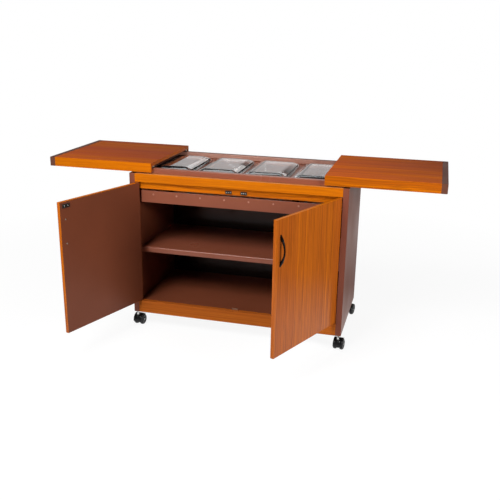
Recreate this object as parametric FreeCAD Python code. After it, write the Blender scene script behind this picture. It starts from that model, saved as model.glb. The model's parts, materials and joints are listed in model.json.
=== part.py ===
# Food warmer trolley: a cupboard on castors with a heated well under two sliding leaves.
# Lengths are in millimetres and angles in degrees. The model is built with x = 0 on the centre line, y = 0 on
# the cupboard's front plane (+y to the back) and z = 0 at the side panels' bottom edges, in closed poses.
# Leaves, doors and castors are then moved to the poses that they are shown in, and everything is shifted so
# that the origin lies on the floor, midway between the leaves' rear edges and the wider open door's front.
import FreeCAD, Part
import math
import os

V = FreeCAD.Vector

# Carcass boards
CARCASS_WIDTH = 970.0
PANEL_GAUGE = 25.0
PANEL_HEIGHT = 659.0
PANEL_DEPTH = 471.0
FASCIA_HEIGHT = 38.0
RAIL_GAUGE = 18.0
CATCH_RAIL_DROP = 32.5
CATCH_RAIL_END_GAP = 13.0
PLINTH_HEIGHT = 58.0
PLINTH_GAUGE = 22.0
BOTTOM_GAUGE = 16.0
BOTTOM_STEP = 4.0
BACK_GAUGE = 5.0

# Folded steel shelf and its pegs
SHELF_HEIGHT = 305.0
SHELF_GAUGE = 1.2
SHELF_SETBACK = 55.0
SHELF_REAR_GAP = 2.0
SHELF_SIDE_GAP = 1.0
SHELF_LIP = 27.0
SHELF_HEM = 9.0
PEG_RADIUS = 3.5
PEG_SEAT = 10.0
PEG_REACH = 12.0
PEG_EDGE = 45.0

# Doors on pivot pins
DOOR_GAUGE = 15.0
DOOR_HINGE_GAP = 2.5
DOOR_MEETING_GAP = 3.0
DOOR_TOP_GAP = 3.5
DOOR_FOOT_GAP = 2.5
LEFT_DOOR_OPEN = 109.0
RIGHT_DOOR_OPEN = 66.5
PIVOT_INSET = 5.0
PIN_RADIUS = 1.75
PIN_LENGTH = 9.0
PIN_CLEARANCE = 0.05
PIN_END_GAP = 0.5
PIVOT_PLATE_LENGTH = 26.0
PIVOT_PLATE_WIDTH = 10.0
PIVOT_PLATE_GAUGE = 2.0
PIVOT_NOSE_MARGIN = 1.0
BUSH_WALL = 1.25
BUSH_FLANGE_STEP = 0.8
BUSH_FLANGE = 2.2

# Bow handles
HANDLE_FROM_EDGE = 27.0
HANDLE_DROP = 123.0
HANDLE_LENGTH = 129.0
HANDLE_GRIP_LENGTH = 86.0
HANDLE_BOW = 22.0
HANDLE_THICKNESS = 5.0
HANDLE_WIDTH = 8.5
HANDLE_ROUNDING = 2.0

# Magnetic catches and the stop on the plinth
CATCH_LENGTH = 29.0
CATCH_HEIGHT = 15.0
CATCH_GAUGE = 2.0
CATCH_OFFSET = 34.0
CATCH_RISE = 11.5
CATCH_CLEARANCE = 0.3
STRIKE_LENGTH = 40.0
STRIKE_HEIGHT = 17.0
STRIKE_GAUGE = 2.0
STOP_LENGTH = 28.0
STOP_HEIGHT = 8.0
STOP_GAUGE = 4.0
STOP_GAP = 0.3

# Heater tray under the well
TRAY_SIDE_GAP = 20.0
TRAY_FRONT_GAP = 3.0
TRAY_REAR_GAP = 2.0
TRAY_TOP_GAP = 8.5
TRAY_HEIGHT = 54.0
TRAY_GAUGE = 1.5
TRAY_EAR_LENGTH = 320.0
TRAY_EAR_DROP = 20.0
SCREW_COUNT = 8
SCREW_END_MARGIN = 57.8
SCREW_DROP = 16.0
SCREW_HEAD_RADIUS = 4.2
SCREW_HEAD_HEIGHT = 2.4
SCREW_SHANK_RADIUS = 1.9
SCREW_SHANK_LENGTH = 8.0
SCREW_CLEARANCE = 0.2
STRAP_WIDTH = 14.0
STRAP_GAUGE = 1.5
STRAP_LEVEL = 18.0
STRAP_TAB = 26.0
ELEMENT_RADIUS = 4.0
ELEMENT_SPACING = 200.0
ELEMENT_END_GAP = 60.0
ELEMENT_SEAT_GAP = 0.1
TERMINAL_RADIUS = 1.8
TERMINAL_LENGTH = 18.0
THERMOSTAT_RADIUS = 16.0
THERMOSTAT_HEIGHT = 11.0
THERMOSTAT_CAP_RADIUS = 10.0
THERMOSTAT_CAP_HEIGHT = 4.0
THERMOSTAT_BAY_COUNT = 2
GLAND_X = 380.0
GLAND_DROP = 28.5
GLAND_NECK_RADIUS = 8.0
GLAND_FLANGE_RADIUS = 12.0
GLAND_FLANGE = 3.0
GLAND_TAIL = 10.0
GLAND_TAIL_RADIUS = 6.0
GLAND_BORE_RADIUS = 3.6

# Well: deck, slide rails and end walls
DECK_BELOW_PANELS = 1.0
DECK_GAUGE = 1.5
DECK_SIDE_GAP = 0.5
DECK_LIP = 8.0
END_WALL_DROP = 1.5
END_WALL_GAP = 5.0
SLIDE_FACE_GAP = 0.2
SLIDE_FLANGE = 18.0
SLIDE_FOOT = 20.5
SLIDE_GAUGE = 1.5
SLIDE_END_GAP = 1.0
SLIDE_STOP_DROP = 9.0

# Glass dishes and lids
DISH_COUNT = 4
DISH_GAP = 19.0
DISH_SIDE_MARGIN = 39.5
DISH_FRONT_MARGIN = 33.0
DISH_REAR_MARGIN = 38.0
RIM_CORNER = 34.0
RIM_THICKNESS = 7.4
DISH_OPENING_GAP = 2.0
RIM_OVERHANG = 12.0
BOWL_CORNER = 28.0
BOWL_TAPER = 10.0
BOWL_DEPTH = 62.0
GLASS_WALL = 5.0
BOWL_ROUNDING = 8.0
SEAT_GAP = 0.3
LID_INSET = 7.5
LID_CORNER = 26.0
LID_EDGE = 4.0
LID_RISE = 10.0
LID_SLOPE_RUN = 24.0
LID_TOP_CORNER = 10.0
LID_WALL = 4.5
LID_ROUNDING = 2.0

# Sliding leaves
LEAF_SIDE_OVERHANG = 5.0
LEAF_REAR_OVERHANG = 14.0
LEAF_HEIGHT = 41.0
LEAF_GAUGE = 15.0
LEAF_RISE = 6.8
LEAF_MEETING_GAP = 2.0
LEAF_TRAVEL = 380.0
END_CAP_WIDTH = 25.0
END_CAP_ROUNDING = 3.0
RUNNER_PAD = 9.0
RUNNER_CLEARANCE = 0.3
RUNNER_LEG = 3.0
RUNNER_OVERLAP = 12.5
RUNNER_HOOK = 5.5
RUNNER_SETBACK = 2.0
RUNNER_STOP_GAP = 0.5

# Twin-wheel castors
CASTOR_INSET = 12.5
CASTOR_TRAIL = 20.0
WHEEL_RADIUS = 25.0
WHEEL_WIDTH = 17.0
WHEEL_SHOULDER = 7.0
WHEEL_RIM = 9.0
WHEEL_RECESS = 2.0
WHEEL_HUB_RADIUS = 8.5
WHEEL_SPACING = 12.0
AXLE_RADIUS = 3.0
AXLE_CLEARANCE = 0.05
HOUSING_CLEARANCE = 0.7
HOUSING_TUCK = 1.5
HOOD_CLEARANCE = 1.0
HOOD_GAUGE = 2.5
HOOD_WIDTH = 42.0
HOOD_START = 55.0
HOOD_SWEEP = 135.0
BOSS_RISE = 5.0
STEM_SHOWING = 19.0
STEM_RADIUS = 5.5
STEM_PIN_RADIUS = 3.5
STEM_GRIP = 35.0
STEM_ENGAGEMENT = 24.0
STEM_COLLAR_RADIUS = 8.0
STEM_COLLAR = 3.0
STEM_SEAT_GAP = 0.05
CASTOR_TURNS = {"front_left": 86.0, "front_right": 84.0, "rear_left": -74.0, "rear_right": -102.0}

# Places worked out from the driving sizes
HALF_WIDTH = CARCASS_WIDTH / 2
INNER_HALF = HALF_WIDTH - PANEL_GAUGE
FASCIA_GAUGE = DOOR_GAUGE + STRIKE_GAUGE + CATCH_CLEARANCE + CATCH_GAUGE
FASCIA_BOTTOM = PANEL_HEIGHT - FASCIA_HEIGHT
BACK_FACE = PANEL_DEPTH - BACK_GAUGE
DECK_TOP = PANEL_HEIGHT - DECK_BELOW_PANELS
DECK_BOTTOM = DECK_TOP - DECK_GAUGE
CATCH_RAIL_BOTTOM = FASCIA_BOTTOM - CATCH_RAIL_DROP
BOTTOM_TOP = PLINTH_HEIGHT - BOTTOM_STEP
DOOR_WIDTH = INNER_HALF - DOOR_HINGE_GAP - DOOR_MEETING_GAP / 2
DOOR_BOTTOM = PLINTH_HEIGHT + DOOR_FOOT_GAP
DOOR_TOP = FASCIA_BOTTOM - DOOR_TOP_GAP
DOOR_EDGE = -INNER_HALF + DOOR_HINGE_GAP
HANDLE_LEVEL = DOOR_TOP - HANDLE_DROP
PIVOT_X = DOOR_EDGE + PIVOT_INSET
PIVOT_Y = PIVOT_INSET
BUSH_RADIUS = PIN_RADIUS + PIN_CLEARANCE + BUSH_WALL
CATCH_LEVEL = CATCH_RAIL_BOTTOM + CATCH_RISE
TRAY_FRONT = FASCIA_GAUGE + TRAY_FRONT_GAP
TRAY_REAR = BACK_FACE - RAIL_GAUGE - TRAY_REAR_GAP
TRAY_HALF = INNER_HALF - TRAY_SIDE_GAP
TRAY_TOP = CATCH_RAIL_BOTTOM - TRAY_TOP_GAP
TRAY_LEVEL = TRAY_TOP - TRAY_HEIGHT
SCREW_LEVEL = TRAY_TOP - SCREW_DROP
SCREW_PITCH = 2 * (TRAY_HALF - SCREW_END_MARGIN) / (SCREW_COUNT - 1)
SCREW_PLACES = [(i - (SCREW_COUNT - 1) / 2) * SCREW_PITCH for i in range(SCREW_COUNT)]
STRAP_TOP = TRAY_LEVEL + STRAP_LEVEL
SLIDE_FACE = FASCIA_GAUGE + SLIDE_FACE_GAP
SLIDE_HALF = INNER_HALF - SLIDE_END_GAP
LEAF_DEPTH = PANEL_DEPTH + LEAF_REAR_OVERHANG
LEAF_BOTTOM = PANEL_HEIGHT + LEAF_RISE
LEAF_TOP = LEAF_BOTTOM + LEAF_HEIGHT
LEAF_UNDERSIDE = LEAF_TOP - LEAF_GAUGE
LEAF_INNER = -LEAF_MEETING_GAP / 2
LEAF_OUTER = -HALF_WIDTH - LEAF_SIDE_OVERHANG
SLIDE_TOP = LEAF_UNDERSIDE - RUNNER_PAD - RUNNER_CLEARANCE
SLIDE_INNER = SLIDE_FACE + SLIDE_FOOT
RIM_WIDTH = (2 * (INNER_HALF - DISH_SIDE_MARGIN) - (DISH_COUNT - 1) * DISH_GAP) / DISH_COUNT
RIM_FRONT = SLIDE_INNER + DISH_FRONT_MARGIN
RIM_REAR = LEAF_DEPTH - SLIDE_INNER - DISH_REAR_MARGIN
RIM_LENGTH = RIM_REAR - RIM_FRONT
DISH_MIDDLE = (RIM_FRONT + RIM_REAR) / 2
DISH_PITCH = RIM_WIDTH + DISH_GAP
BOWL_WIDTH = RIM_WIDTH - 2 * RIM_OVERHANG
BOWL_LENGTH = RIM_LENGTH - 2 * RIM_OVERHANG
LID_WIDTH = RIM_WIDTH - 2 * LID_INSET
LID_LENGTH = RIM_LENGTH - 2 * LID_INSET
DISH_PLACES = [(i - (DISH_COUNT - 1) / 2) * DISH_PITCH for i in range(DISH_COUNT)]
RIM_BOTTOM = DECK_TOP + SEAT_GAP
RIM_TOP = RIM_BOTTOM + RIM_THICKNESS
BOWL_BOTTOM = RIM_BOTTOM - BOWL_DEPTH
LID_BOTTOM = RIM_TOP + SEAT_GAP
BOSS_TOP = 2 * WHEEL_RADIUS + BOSS_RISE
CASTOR_HEIGHT = BOSS_TOP + STEM_SHOWING
FLOOR = -CASTOR_HEIGHT
DOOR_SWEEP = math.radians(LEFT_DOOR_OPEN)
DOOR_REACH = ((DOOR_WIDTH - PIVOT_INSET) * math.sin(DOOR_SWEEP)
              - (DOOR_GAUGE - PIVOT_INSET) * math.cos(DOOR_SWEEP) - PIVOT_INSET)
ORIGIN_SHIFT = V(0, (DOOR_REACH - LEAF_DEPTH) / 2, CASTOR_HEIGHT)

nodes = {}


def block(x, y, z):
    """A box from three (low, high) pairs."""
    return Part.makeBox(x[1] - x[0], y[1] - y[0], z[1] - z[0], V(x[0], y[0], z[0]))


def rod(radius, start, end):
    """A cylinder between two points."""
    return Part.makeCylinder(radius, end.sub(start).Length, start, end.sub(start))


def mirrored(shape):
    """The shape's twin across the centre line."""
    return shape.mirror(V(0, 0, 0), V(1, 0, 0))


def front_to_rear(shape):
    """The shape's twin across the middle of the leaves' depth."""
    return shape.mirror(V(0, LEAF_DEPTH / 2, 0), V(0, 1, 0))


def fused(shapes):
    """One solid from touching shapes, without seams between level faces."""
    return shapes[0].fuse(shapes[1:]).removeSplitter()


def bar(section, x):
    """A (y, z) outline drawn out between two places on x."""
    points = [V(x[0], y, z) for y, z in section]
    return Part.Face(Part.makePolygon(points + points[:1])).extrude(V(x[1] - x[0], 0, 0))


def round_rectangle(place, width, length, corner):
    """A closed level outline with round corners, centred on a point."""
    across = width / 2 - corner
    along = length / 2 - corner
    centres = [(across, along), (-across, along), (-across, -along), (across, -along)]
    arcs = []
    for quarter, (x, y) in enumerate(centres):
        turns = [math.radians(90 * quarter + step) for step in (0, 45, 90)]
        on_arc = [V(x + corner * math.cos(a), y + corner * math.sin(a), 0).add(place) for a in turns]
        arcs.append(Part.Arc(*on_arc).toShape())
    edges = []
    for arc, following in zip(arcs, arcs[1:] + arcs[:1]):
        edges += [arc, Part.makeLine(arc.Vertexes[-1].Point, following.Vertexes[0].Point)]
    return Part.Wire(edges)


def slab(place, width, length, corner, height):
    """A round-cornered plate that stands on its outline."""
    return Part.Face(round_rectangle(place, width, length, corner)).extrude(V(0, 0, height))


def tapered(low, high):
    """A solid between two round-cornered outlines."""
    return Part.makeLoft([round_rectangle(*low), round_rectangle(*high)], True, True)


# Side panels, bored for the castor stems and the shelf pegs
def castor_stations():
    """The four stem axes on the panels' bottom edges, by name."""
    x = HALF_WIDTH - PANEL_GAUGE / 2
    rear = PANEL_DEPTH - CASTOR_INSET
    return {"front_left": V(-x, CASTOR_INSET, 0), "front_right": V(x, CASTOR_INSET, 0),
            "rear_left": V(-x, rear, 0), "rear_right": V(x, rear, 0)}


PEG_LEVEL = SHELF_HEIGHT - SHELF_GAUGE - PEG_RADIUS
PEG_ROWS = [SHELF_SETBACK + PEG_EDGE, BACK_FACE - SHELF_REAR_GAP - PEG_EDGE]


def side_panel():
    """The left-hand panel."""
    panel = block((-HALF_WIDTH, -INNER_HALF), (0, PANEL_DEPTH), (0, PANEL_HEIGHT))
    for name, place in castor_stations().items():
        if name.endswith("left"):
            panel = panel.cut(rod(STEM_RADIUS + STEM_SEAT_GAP, place, place + V(0, 0, STEM_GRIP)))
    for y in PEG_ROWS:
        mouth = V(-INNER_HALF, y, PEG_LEVEL)
        panel = panel.cut(rod(PEG_RADIUS, mouth, mouth - V(PEG_SEAT, 0, 0)))
    return panel


nodes["left_side_panel"] = side_panel()
nodes["right_side_panel"] = mirrored(nodes["left_side_panel"])

# Rails and boards between the panels
BUSH_LENGTH = PIN_LENGTH
BUSH_PLACES = [V(side * PIVOT_X, PIVOT_Y, 0) for side in (1, -1)]
across = (-INNER_HALF, INNER_HALF)
fascia = block(across, (0, FASCIA_GAUGE), (FASCIA_BOTTOM, PANEL_HEIGHT))
plinth = block(across, (0, PLINTH_GAUGE), (0, PLINTH_HEIGHT))
for place in BUSH_PLACES:
    over = place + V(0, 0, FASCIA_BOTTOM)
    under = place + V(0, 0, PLINTH_HEIGHT)
    fascia = fascia.cut(rod(BUSH_RADIUS, over, over + V(0, 0, BUSH_LENGTH)))
    plinth = plinth.cut(rod(BUSH_RADIUS, under, under - V(0, 0, BUSH_LENGTH)))
nodes["top_fascia"] = fascia
nodes["plinth_rail"] = plinth
nodes["catch_rail"] = block((-INNER_HALF + CATCH_RAIL_END_GAP, INNER_HALF - CATCH_RAIL_END_GAP),
                            (FASCIA_GAUGE, FASCIA_GAUGE + RAIL_GAUGE), (CATCH_RAIL_BOTTOM, DECK_BOTTOM))
nodes["rear_rail"] = block(across, (BACK_FACE - RAIL_GAUGE, BACK_FACE), (CATCH_RAIL_BOTTOM, DECK_BOTTOM))
nodes["bottom_board"] = block(across, (PLINTH_GAUGE, BACK_FACE), (BOTTOM_TOP - BOTTOM_GAUGE, BOTTOM_TOP))
gland_place = V(GLAND_X, BACK_FACE, CATCH_RAIL_BOTTOM - GLAND_DROP)
through_back = V(0, BACK_GAUGE, 0)
back = block(across, (BACK_FACE, PANEL_DEPTH), (0, DECK_BOTTOM))
nodes["back_panel"] = back.cut(rod(GLAND_NECK_RADIUS, gland_place, gland_place + through_back))


# Middle shelf, folded from one sheet, on four pegs
def folded(path, gauge):
    """The outline of a sheet with square bends along a (y, z) path, thickened to the path's right."""
    inner = []
    for i, (y, z) in enumerate(path):
        near = path[max(i - 1, 0):i + 2]
        for start, end in zip(near, near[1:]):
            length = math.dist(start, end)
            y += gauge * (end[1] - start[1]) / length
            z -= gauge * (end[0] - start[0]) / length
        inner.append((y, z))
    return path + inner[::-1]


shelf_rear = BACK_FACE - SHELF_REAR_GAP
shelf_lip = SHELF_HEIGHT - SHELF_LIP
shelf_path = [(SHELF_SETBACK + SHELF_HEM, shelf_lip), (SHELF_SETBACK, shelf_lip),
              (SHELF_SETBACK, SHELF_HEIGHT), (shelf_rear, SHELF_HEIGHT), (shelf_rear, shelf_lip)]
shelf_span = INNER_HALF - SHELF_SIDE_GAP
nodes["middle_shelf"] = bar(folded(shelf_path, SHELF_GAUGE), (-shelf_span, shelf_span))
pegs = []
for y in PEG_ROWS:
    for side in (1, -1):
        seat = V(side * (INNER_HALF + PEG_SEAT), y, PEG_LEVEL)
        pegs.append(rod(PEG_RADIUS, seat, seat - V(side * (PEG_SEAT + PEG_REACH), 0, 0)))
nodes["shelf_pegs"] = Part.makeCompound(pegs)

# Heater tray with ears on the side panels
tray = block((-TRAY_HALF, TRAY_HALF), (TRAY_FRONT, TRAY_REAR), (TRAY_LEVEL, TRAY_TOP))
tray = tray.cut(block((-TRAY_HALF + TRAY_GAUGE, TRAY_HALF - TRAY_GAUGE),
                      (TRAY_FRONT + TRAY_GAUGE, TRAY_REAR - TRAY_GAUGE), (TRAY_LEVEL + TRAY_GAUGE, TRAY_TOP)))
ear_middle = (TRAY_FRONT + TRAY_REAR) / 2
ear_span = (ear_middle - TRAY_EAR_LENGTH / 2, ear_middle + TRAY_EAR_LENGTH / 2)
ear = fused([block((TRAY_HALF - TRAY_GAUGE, INNER_HALF), ear_span, (TRAY_TOP - TRAY_GAUGE, TRAY_TOP)),
             block((INNER_HALF - TRAY_GAUGE, INNER_HALF), ear_span, (TRAY_TOP - TRAY_EAR_DROP, TRAY_TOP))])
tray = fused([tray, ear, mirrored(ear)])
screws = []
straps = []
strap_span = (TRAY_FRONT + TRAY_GAUGE, TRAY_REAR - TRAY_GAUGE)
strap_tabs = (strap_span[0] + STRAP_GAUGE, strap_span[1] - STRAP_GAUGE)
tab_level = (STRAP_TOP - STRAP_GAUGE, STRAP_TOP + STRAP_TAB)
for x in SCREW_PLACES:
    seat = V(x, TRAY_FRONT, SCREW_LEVEL)
    hole = rod(SCREW_SHANK_RADIUS + SCREW_CLEARANCE, seat, seat + V(0, SCREW_SHANK_LENGTH, 0))
    tray = tray.cut(hole)
    head = rod(SCREW_HEAD_RADIUS, seat, seat - V(0, SCREW_HEAD_HEIGHT, 0))
    dome_edge = [e for e in head.Edges if abs(e.BoundBox.YMin - e.BoundBox.YMax) < SCREW_CLEARANCE
                 and e.BoundBox.YMax < TRAY_FRONT - SCREW_HEAD_HEIGHT / 2]
    head = head.makeFillet(SCREW_HEAD_HEIGHT / 2, dome_edge)
    screws.append(fused([head, rod(SCREW_SHANK_RADIUS, seat, seat + V(0, SCREW_SHANK_LENGTH, 0))]))
    width = (x - STRAP_WIDTH / 2, x + STRAP_WIDTH / 2)
    strap = fused([block(width, strap_span, (STRAP_TOP - STRAP_GAUGE, STRAP_TOP)),
                   block(width, (strap_span[0], strap_tabs[0]), tab_level),
                   block(width, (strap_tabs[1], strap_span[1]), tab_level)])
    straps.append(strap.cut(hole))
nodes["heater_tray"] = tray
nodes["heater_screws"] = Part.makeCompound(screws)
nodes["element_straps"] = Part.makeCompound(straps)

# Hairpin heating element on the straps
element_z = STRAP_TOP + ELEMENT_SEAT_GAP + ELEMENT_RADIUS
element_right = TRAY_HALF - ELEMENT_END_GAP
bend_x = -TRAY_HALF + ELEMENT_END_GAP + ELEMENT_SPACING / 2
runs = [ear_middle - ELEMENT_SPACING / 2, ear_middle + ELEMENT_SPACING / 2]
element = []
for y in runs:
    end = V(element_right, y, element_z)
    element.append(rod(ELEMENT_RADIUS, V(bend_x, y, element_z), end))
    element.append(rod(TERMINAL_RADIUS, end, end + V(TERMINAL_LENGTH, 0, 0)))
bend_ring = Part.makeCircle(ELEMENT_RADIUS, V(bend_x, runs[0], element_z), V(1, 0, 0))
bend_section = Part.Face(Part.Wire(bend_ring))
element.append(bend_section.revolve(V(bend_x, ear_middle, element_z), V(0, 0, -1), 180))
nodes["heating_element"] = fused(element)

# Disc thermostat on the tray floor, and the cable gland in the back
thermostat_foot = V(THERMOSTAT_BAY_COUNT * SCREW_PITCH, ear_middle, TRAY_LEVEL + TRAY_GAUGE)
thermostat_cap = thermostat_foot + V(0, 0, THERMOSTAT_HEIGHT)
nodes["thermostat"] = fused([rod(THERMOSTAT_RADIUS, thermostat_foot, thermostat_cap),
                             rod(THERMOSTAT_CAP_RADIUS, thermostat_cap,
                                 thermostat_cap + V(0, 0, THERMOSTAT_CAP_HEIGHT))])
gland_out = gland_place + through_back
gland_tip = gland_out + V(0, GLAND_FLANGE + GLAND_TAIL, 0)
gland_nut = gland_place - V(0, GLAND_FLANGE, 0)
gland = fused([rod(GLAND_FLANGE_RADIUS, gland_nut, gland_place),
               rod(GLAND_NECK_RADIUS, gland_place, gland_out),
               rod(GLAND_FLANGE_RADIUS, gland_out, gland_out + V(0, GLAND_FLANGE, 0)),
               Part.makeCone(GLAND_NECK_RADIUS, GLAND_TAIL_RADIUS, GLAND_TAIL,
                             gland_out + V(0, GLAND_FLANGE, 0), V(0, 1, 0))])
nodes["cable_gland"] = gland.cut(rod(GLAND_BORE_RADIUS, gland_nut, gland_tip))

# Deck of the well, with a lipped opening for each dish and walls at both ends
deck_half = INNER_HALF - DECK_SIDE_GAP
opening_width = BOWL_WIDTH + 2 * DISH_OPENING_GAP
opening_length = BOWL_LENGTH + 2 * DISH_OPENING_GAP
opening_corner = BOWL_CORNER + DISH_OPENING_GAP
deck = block((-deck_half, deck_half), (FASCIA_GAUGE, BACK_FACE), (DECK_BOTTOM, DECK_TOP))
wall_span = (SLIDE_INNER + END_WALL_GAP, LEAF_DEPTH - SLIDE_INNER - END_WALL_GAP)
end_wall = block((deck_half - DECK_GAUGE, deck_half), wall_span, (DECK_BOTTOM, SLIDE_TOP - END_WALL_DROP))
lips = []
openings = []
for x in DISH_PLACES:
    foot = V(x, DISH_MIDDLE, DECK_BOTTOM - DECK_LIP)
    depth = DECK_LIP + DECK_GAUGE
    lips.append(slab(foot, opening_width + 2 * DECK_GAUGE, opening_length + 2 * DECK_GAUGE,
                     opening_corner + DECK_GAUGE, depth))
    openings.append(slab(foot, opening_width, opening_length, opening_corner, depth))
deck = fused([deck, end_wall, mirrored(end_wall)] + lips)
nodes["dish_deck"] = deck.cut(openings)

# Two like slide rails along the front and the rear of the well, with a stop tongue at each end
rear_slide_shift = V(0, LEAF_DEPTH - SLIDE_INNER - SLIDE_FACE, 0)
slide_lip = SLIDE_FACE + SLIDE_FLANGE
slide_path = [(SLIDE_INNER, DECK_TOP), (SLIDE_FACE, DECK_TOP),
              (SLIDE_FACE, SLIDE_TOP), (slide_lip, SLIDE_TOP)]
hook_reach = slide_lip - RUNNER_OVERLAP
tongue = block((SLIDE_HALF - SLIDE_GAUGE, SLIDE_HALF), (hook_reach, slide_lip),
               (SLIDE_TOP - SLIDE_STOP_DROP, SLIDE_TOP))
slide = fused([bar(folded(slide_path, SLIDE_GAUGE), (-SLIDE_HALF, SLIDE_HALF)), tongue, mirrored(tongue)])
nodes["front_slide_rail"] = slide
nodes["rear_slide_rail"] = slide.translated(rear_slide_shift)

# Door catches on the rail, the stop on the plinth and the pivot bushes
catch_level = (CATCH_LEVEL - CATCH_HEIGHT / 2, CATCH_LEVEL + CATCH_HEIGHT / 2)
catches = []
for middle in (-CATCH_OFFSET, CATCH_OFFSET):
    catches.append(block((middle - CATCH_LENGTH / 2, middle + CATCH_LENGTH / 2),
                         (FASCIA_GAUGE - CATCH_GAUGE, FASCIA_GAUGE), catch_level))
nodes["door_catches"] = Part.makeCompound(catches)
stop_face = DOOR_GAUGE + STOP_GAP
nodes["door_stop"] = block((-STOP_LENGTH / 2, STOP_LENGTH / 2), (stop_face, stop_face + STOP_GAUGE),
                           (PLINTH_HEIGHT, PLINTH_HEIGHT + STOP_HEIGHT))
bushes = []
for place in BUSH_PLACES:
    for level, up in ((FASCIA_BOTTOM, 1), (PLINTH_HEIGHT, -1)):
        mouth = place + V(0, 0, level)
        flange_end = mouth - V(0, 0, up * BUSH_FLANGE)
        seat = mouth + V(0, 0, up * BUSH_LENGTH)
        bush = fused([rod(BUSH_RADIUS, mouth, seat), rod(BUSH_RADIUS + BUSH_FLANGE_STEP, mouth, flange_end)])
        bushes.append(bush.cut(rod(PIN_RADIUS + PIN_CLEARANCE, flange_end, seat)))
nodes["pivot_bushes"] = Part.makeCompound(bushes)


# Doors, built shut and then swung open on their pivots
def pivot_plate(level, up):
    """A plate let into the door's edge at a level, without its pin."""
    nose = V(PIVOT_X, PIVOT_Y, level)
    depth = V(0, 0, -up * PIVOT_PLATE_GAUGE)
    middle = DOOR_GAUGE / 2
    flat = block((PIVOT_X, PIVOT_X + PIVOT_PLATE_LENGTH),
                 (middle - PIVOT_PLATE_WIDTH / 2, middle + PIVOT_PLATE_WIDTH / 2),
                 sorted((level, level - up * PIVOT_PLATE_GAUGE)))
    return fused([rod(PIVOT_INSET - PIVOT_NOSE_MARGIN, nose, nose + depth), flat])


def door_pieces():
    """The left-hand door's pieces by name, shut."""
    board = block((DOOR_EDGE, DOOR_EDGE + DOOR_WIDTH), (0, DOOR_GAUGE), (DOOR_BOTTOM, DOOR_TOP))
    hinge_edge = [e for e in board.Edges if e.BoundBox.XMax < PIVOT_X and e.BoundBox.YMax < PIVOT_Y]
    board = board.makeFillet(PIVOT_INSET, hinge_edge)
    pivots = []
    for level, up in ((DOOR_TOP, 1), (DOOR_BOTTOM, -1)):
        plate = pivot_plate(level, up)
        board = board.cut(plate)
        gap = DOOR_TOP_GAP if up > 0 else DOOR_FOOT_GAP
        foot = V(PIVOT_X, PIVOT_Y, level)
        tip = foot + V(0, 0, up * (gap + PIN_LENGTH - PIN_END_GAP))
        pivots.append(fused([plate, rod(PIN_RADIUS, foot, tip)]))
    strike_middle = -CATCH_OFFSET
    strike = block((strike_middle - STRIKE_LENGTH / 2, strike_middle + STRIKE_LENGTH / 2),
                   (DOOR_GAUGE, DOOR_GAUGE + STRIKE_GAUGE),
                   (CATCH_LEVEL - STRIKE_HEIGHT / 2, CATCH_LEVEL + STRIKE_HEIGHT / 2))
    return {"door": board, "pivots": Part.makeCompound(pivots),
            "strike_plate": strike, "handle": bow_handle()}


def bow_handle():
    """A bowed grip that stands on the left-hand door's outer face."""
    x = DOOR_EDGE + DOOR_WIDTH - HANDLE_FROM_EDGE

    def bow(length, height):
        ends = [V(x, 0, HANDLE_LEVEL + side * length / 2) for side in (-1, 1)]
        return Part.Arc(ends[0], V(x, -height, HANDLE_LEVEL), ends[1]).toShape()

    outer = bow(HANDLE_LENGTH, HANDLE_BOW)
    inner = bow(HANDLE_GRIP_LENGTH, HANDLE_BOW - HANDLE_THICKNESS)
    feet = [Part.makeLine(outer.Vertexes[i].Point, inner.Vertexes[i].Point) for i in (0, 1)]
    face = Part.Face(Part.Wire(Part.__sortEdges__([outer, feet[1], inner, feet[0]])))
    grip = face.extrude(V(HANDLE_WIDTH, 0, 0))
    grip.translate(V(-HANDLE_WIDTH / 2, 0, 0))
    curved = [e for e in grip.Edges if e.Curve.TypeId == "Part::GeomCircle"]
    return grip.makeFillet(HANDLE_ROUNDING, curved)


for name, piece in door_pieces().items():
    twin = mirrored(piece)
    nodes["left_" + name] = piece.copy().rotate(V(PIVOT_X, PIVOT_Y, 0), V(0, 0, 1), -LEFT_DOOR_OPEN)
    nodes["right_" + name] = twin.rotate(V(-PIVOT_X, PIVOT_Y, 0), V(0, 0, 1), RIGHT_DOOR_OPEN)


# Glass dishes that hang in the deck by their rims, and their hipped lids
def dish(x):
    """A tapered bowl with a broad rim."""
    def level(z):
        return V(x, DISH_MIDDLE, z)

    foot_width = BOWL_WIDTH - 2 * BOWL_TAPER
    foot_length = BOWL_LENGTH - 2 * BOWL_TAPER
    foot_corner = BOWL_CORNER - BOWL_TAPER / 2
    shrink = 2 * GLASS_WALL
    bowl = tapered((level(BOWL_BOTTOM), foot_width, foot_length, foot_corner),
                   (level(RIM_TOP), BOWL_WIDTH, BOWL_LENGTH, BOWL_CORNER))
    foot_edges = [e for e in bowl.Edges if e.BoundBox.ZMax < BOWL_BOTTOM + SEAT_GAP]
    bowl = bowl.makeFillet(BOWL_ROUNDING, foot_edges)
    rim = slab(level(RIM_BOTTOM), RIM_WIDTH, RIM_LENGTH, RIM_CORNER, RIM_THICKNESS)
    hollow = tapered((level(BOWL_BOTTOM + GLASS_WALL), foot_width - shrink, foot_length - shrink,
                      foot_corner - GLASS_WALL),
                     (level(RIM_TOP), BOWL_WIDTH - shrink, BOWL_LENGTH - shrink, BOWL_CORNER - GLASS_WALL))
    hollow_edges = [e for e in hollow.Edges if e.BoundBox.ZMax < BOWL_BOTTOM + GLASS_WALL + SEAT_GAP]
    hollow = hollow.makeFillet(BOWL_ROUNDING - GLASS_WALL / 2, hollow_edges)
    return bowl.fuse(rim).removeSplitter().cut(hollow)


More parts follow.
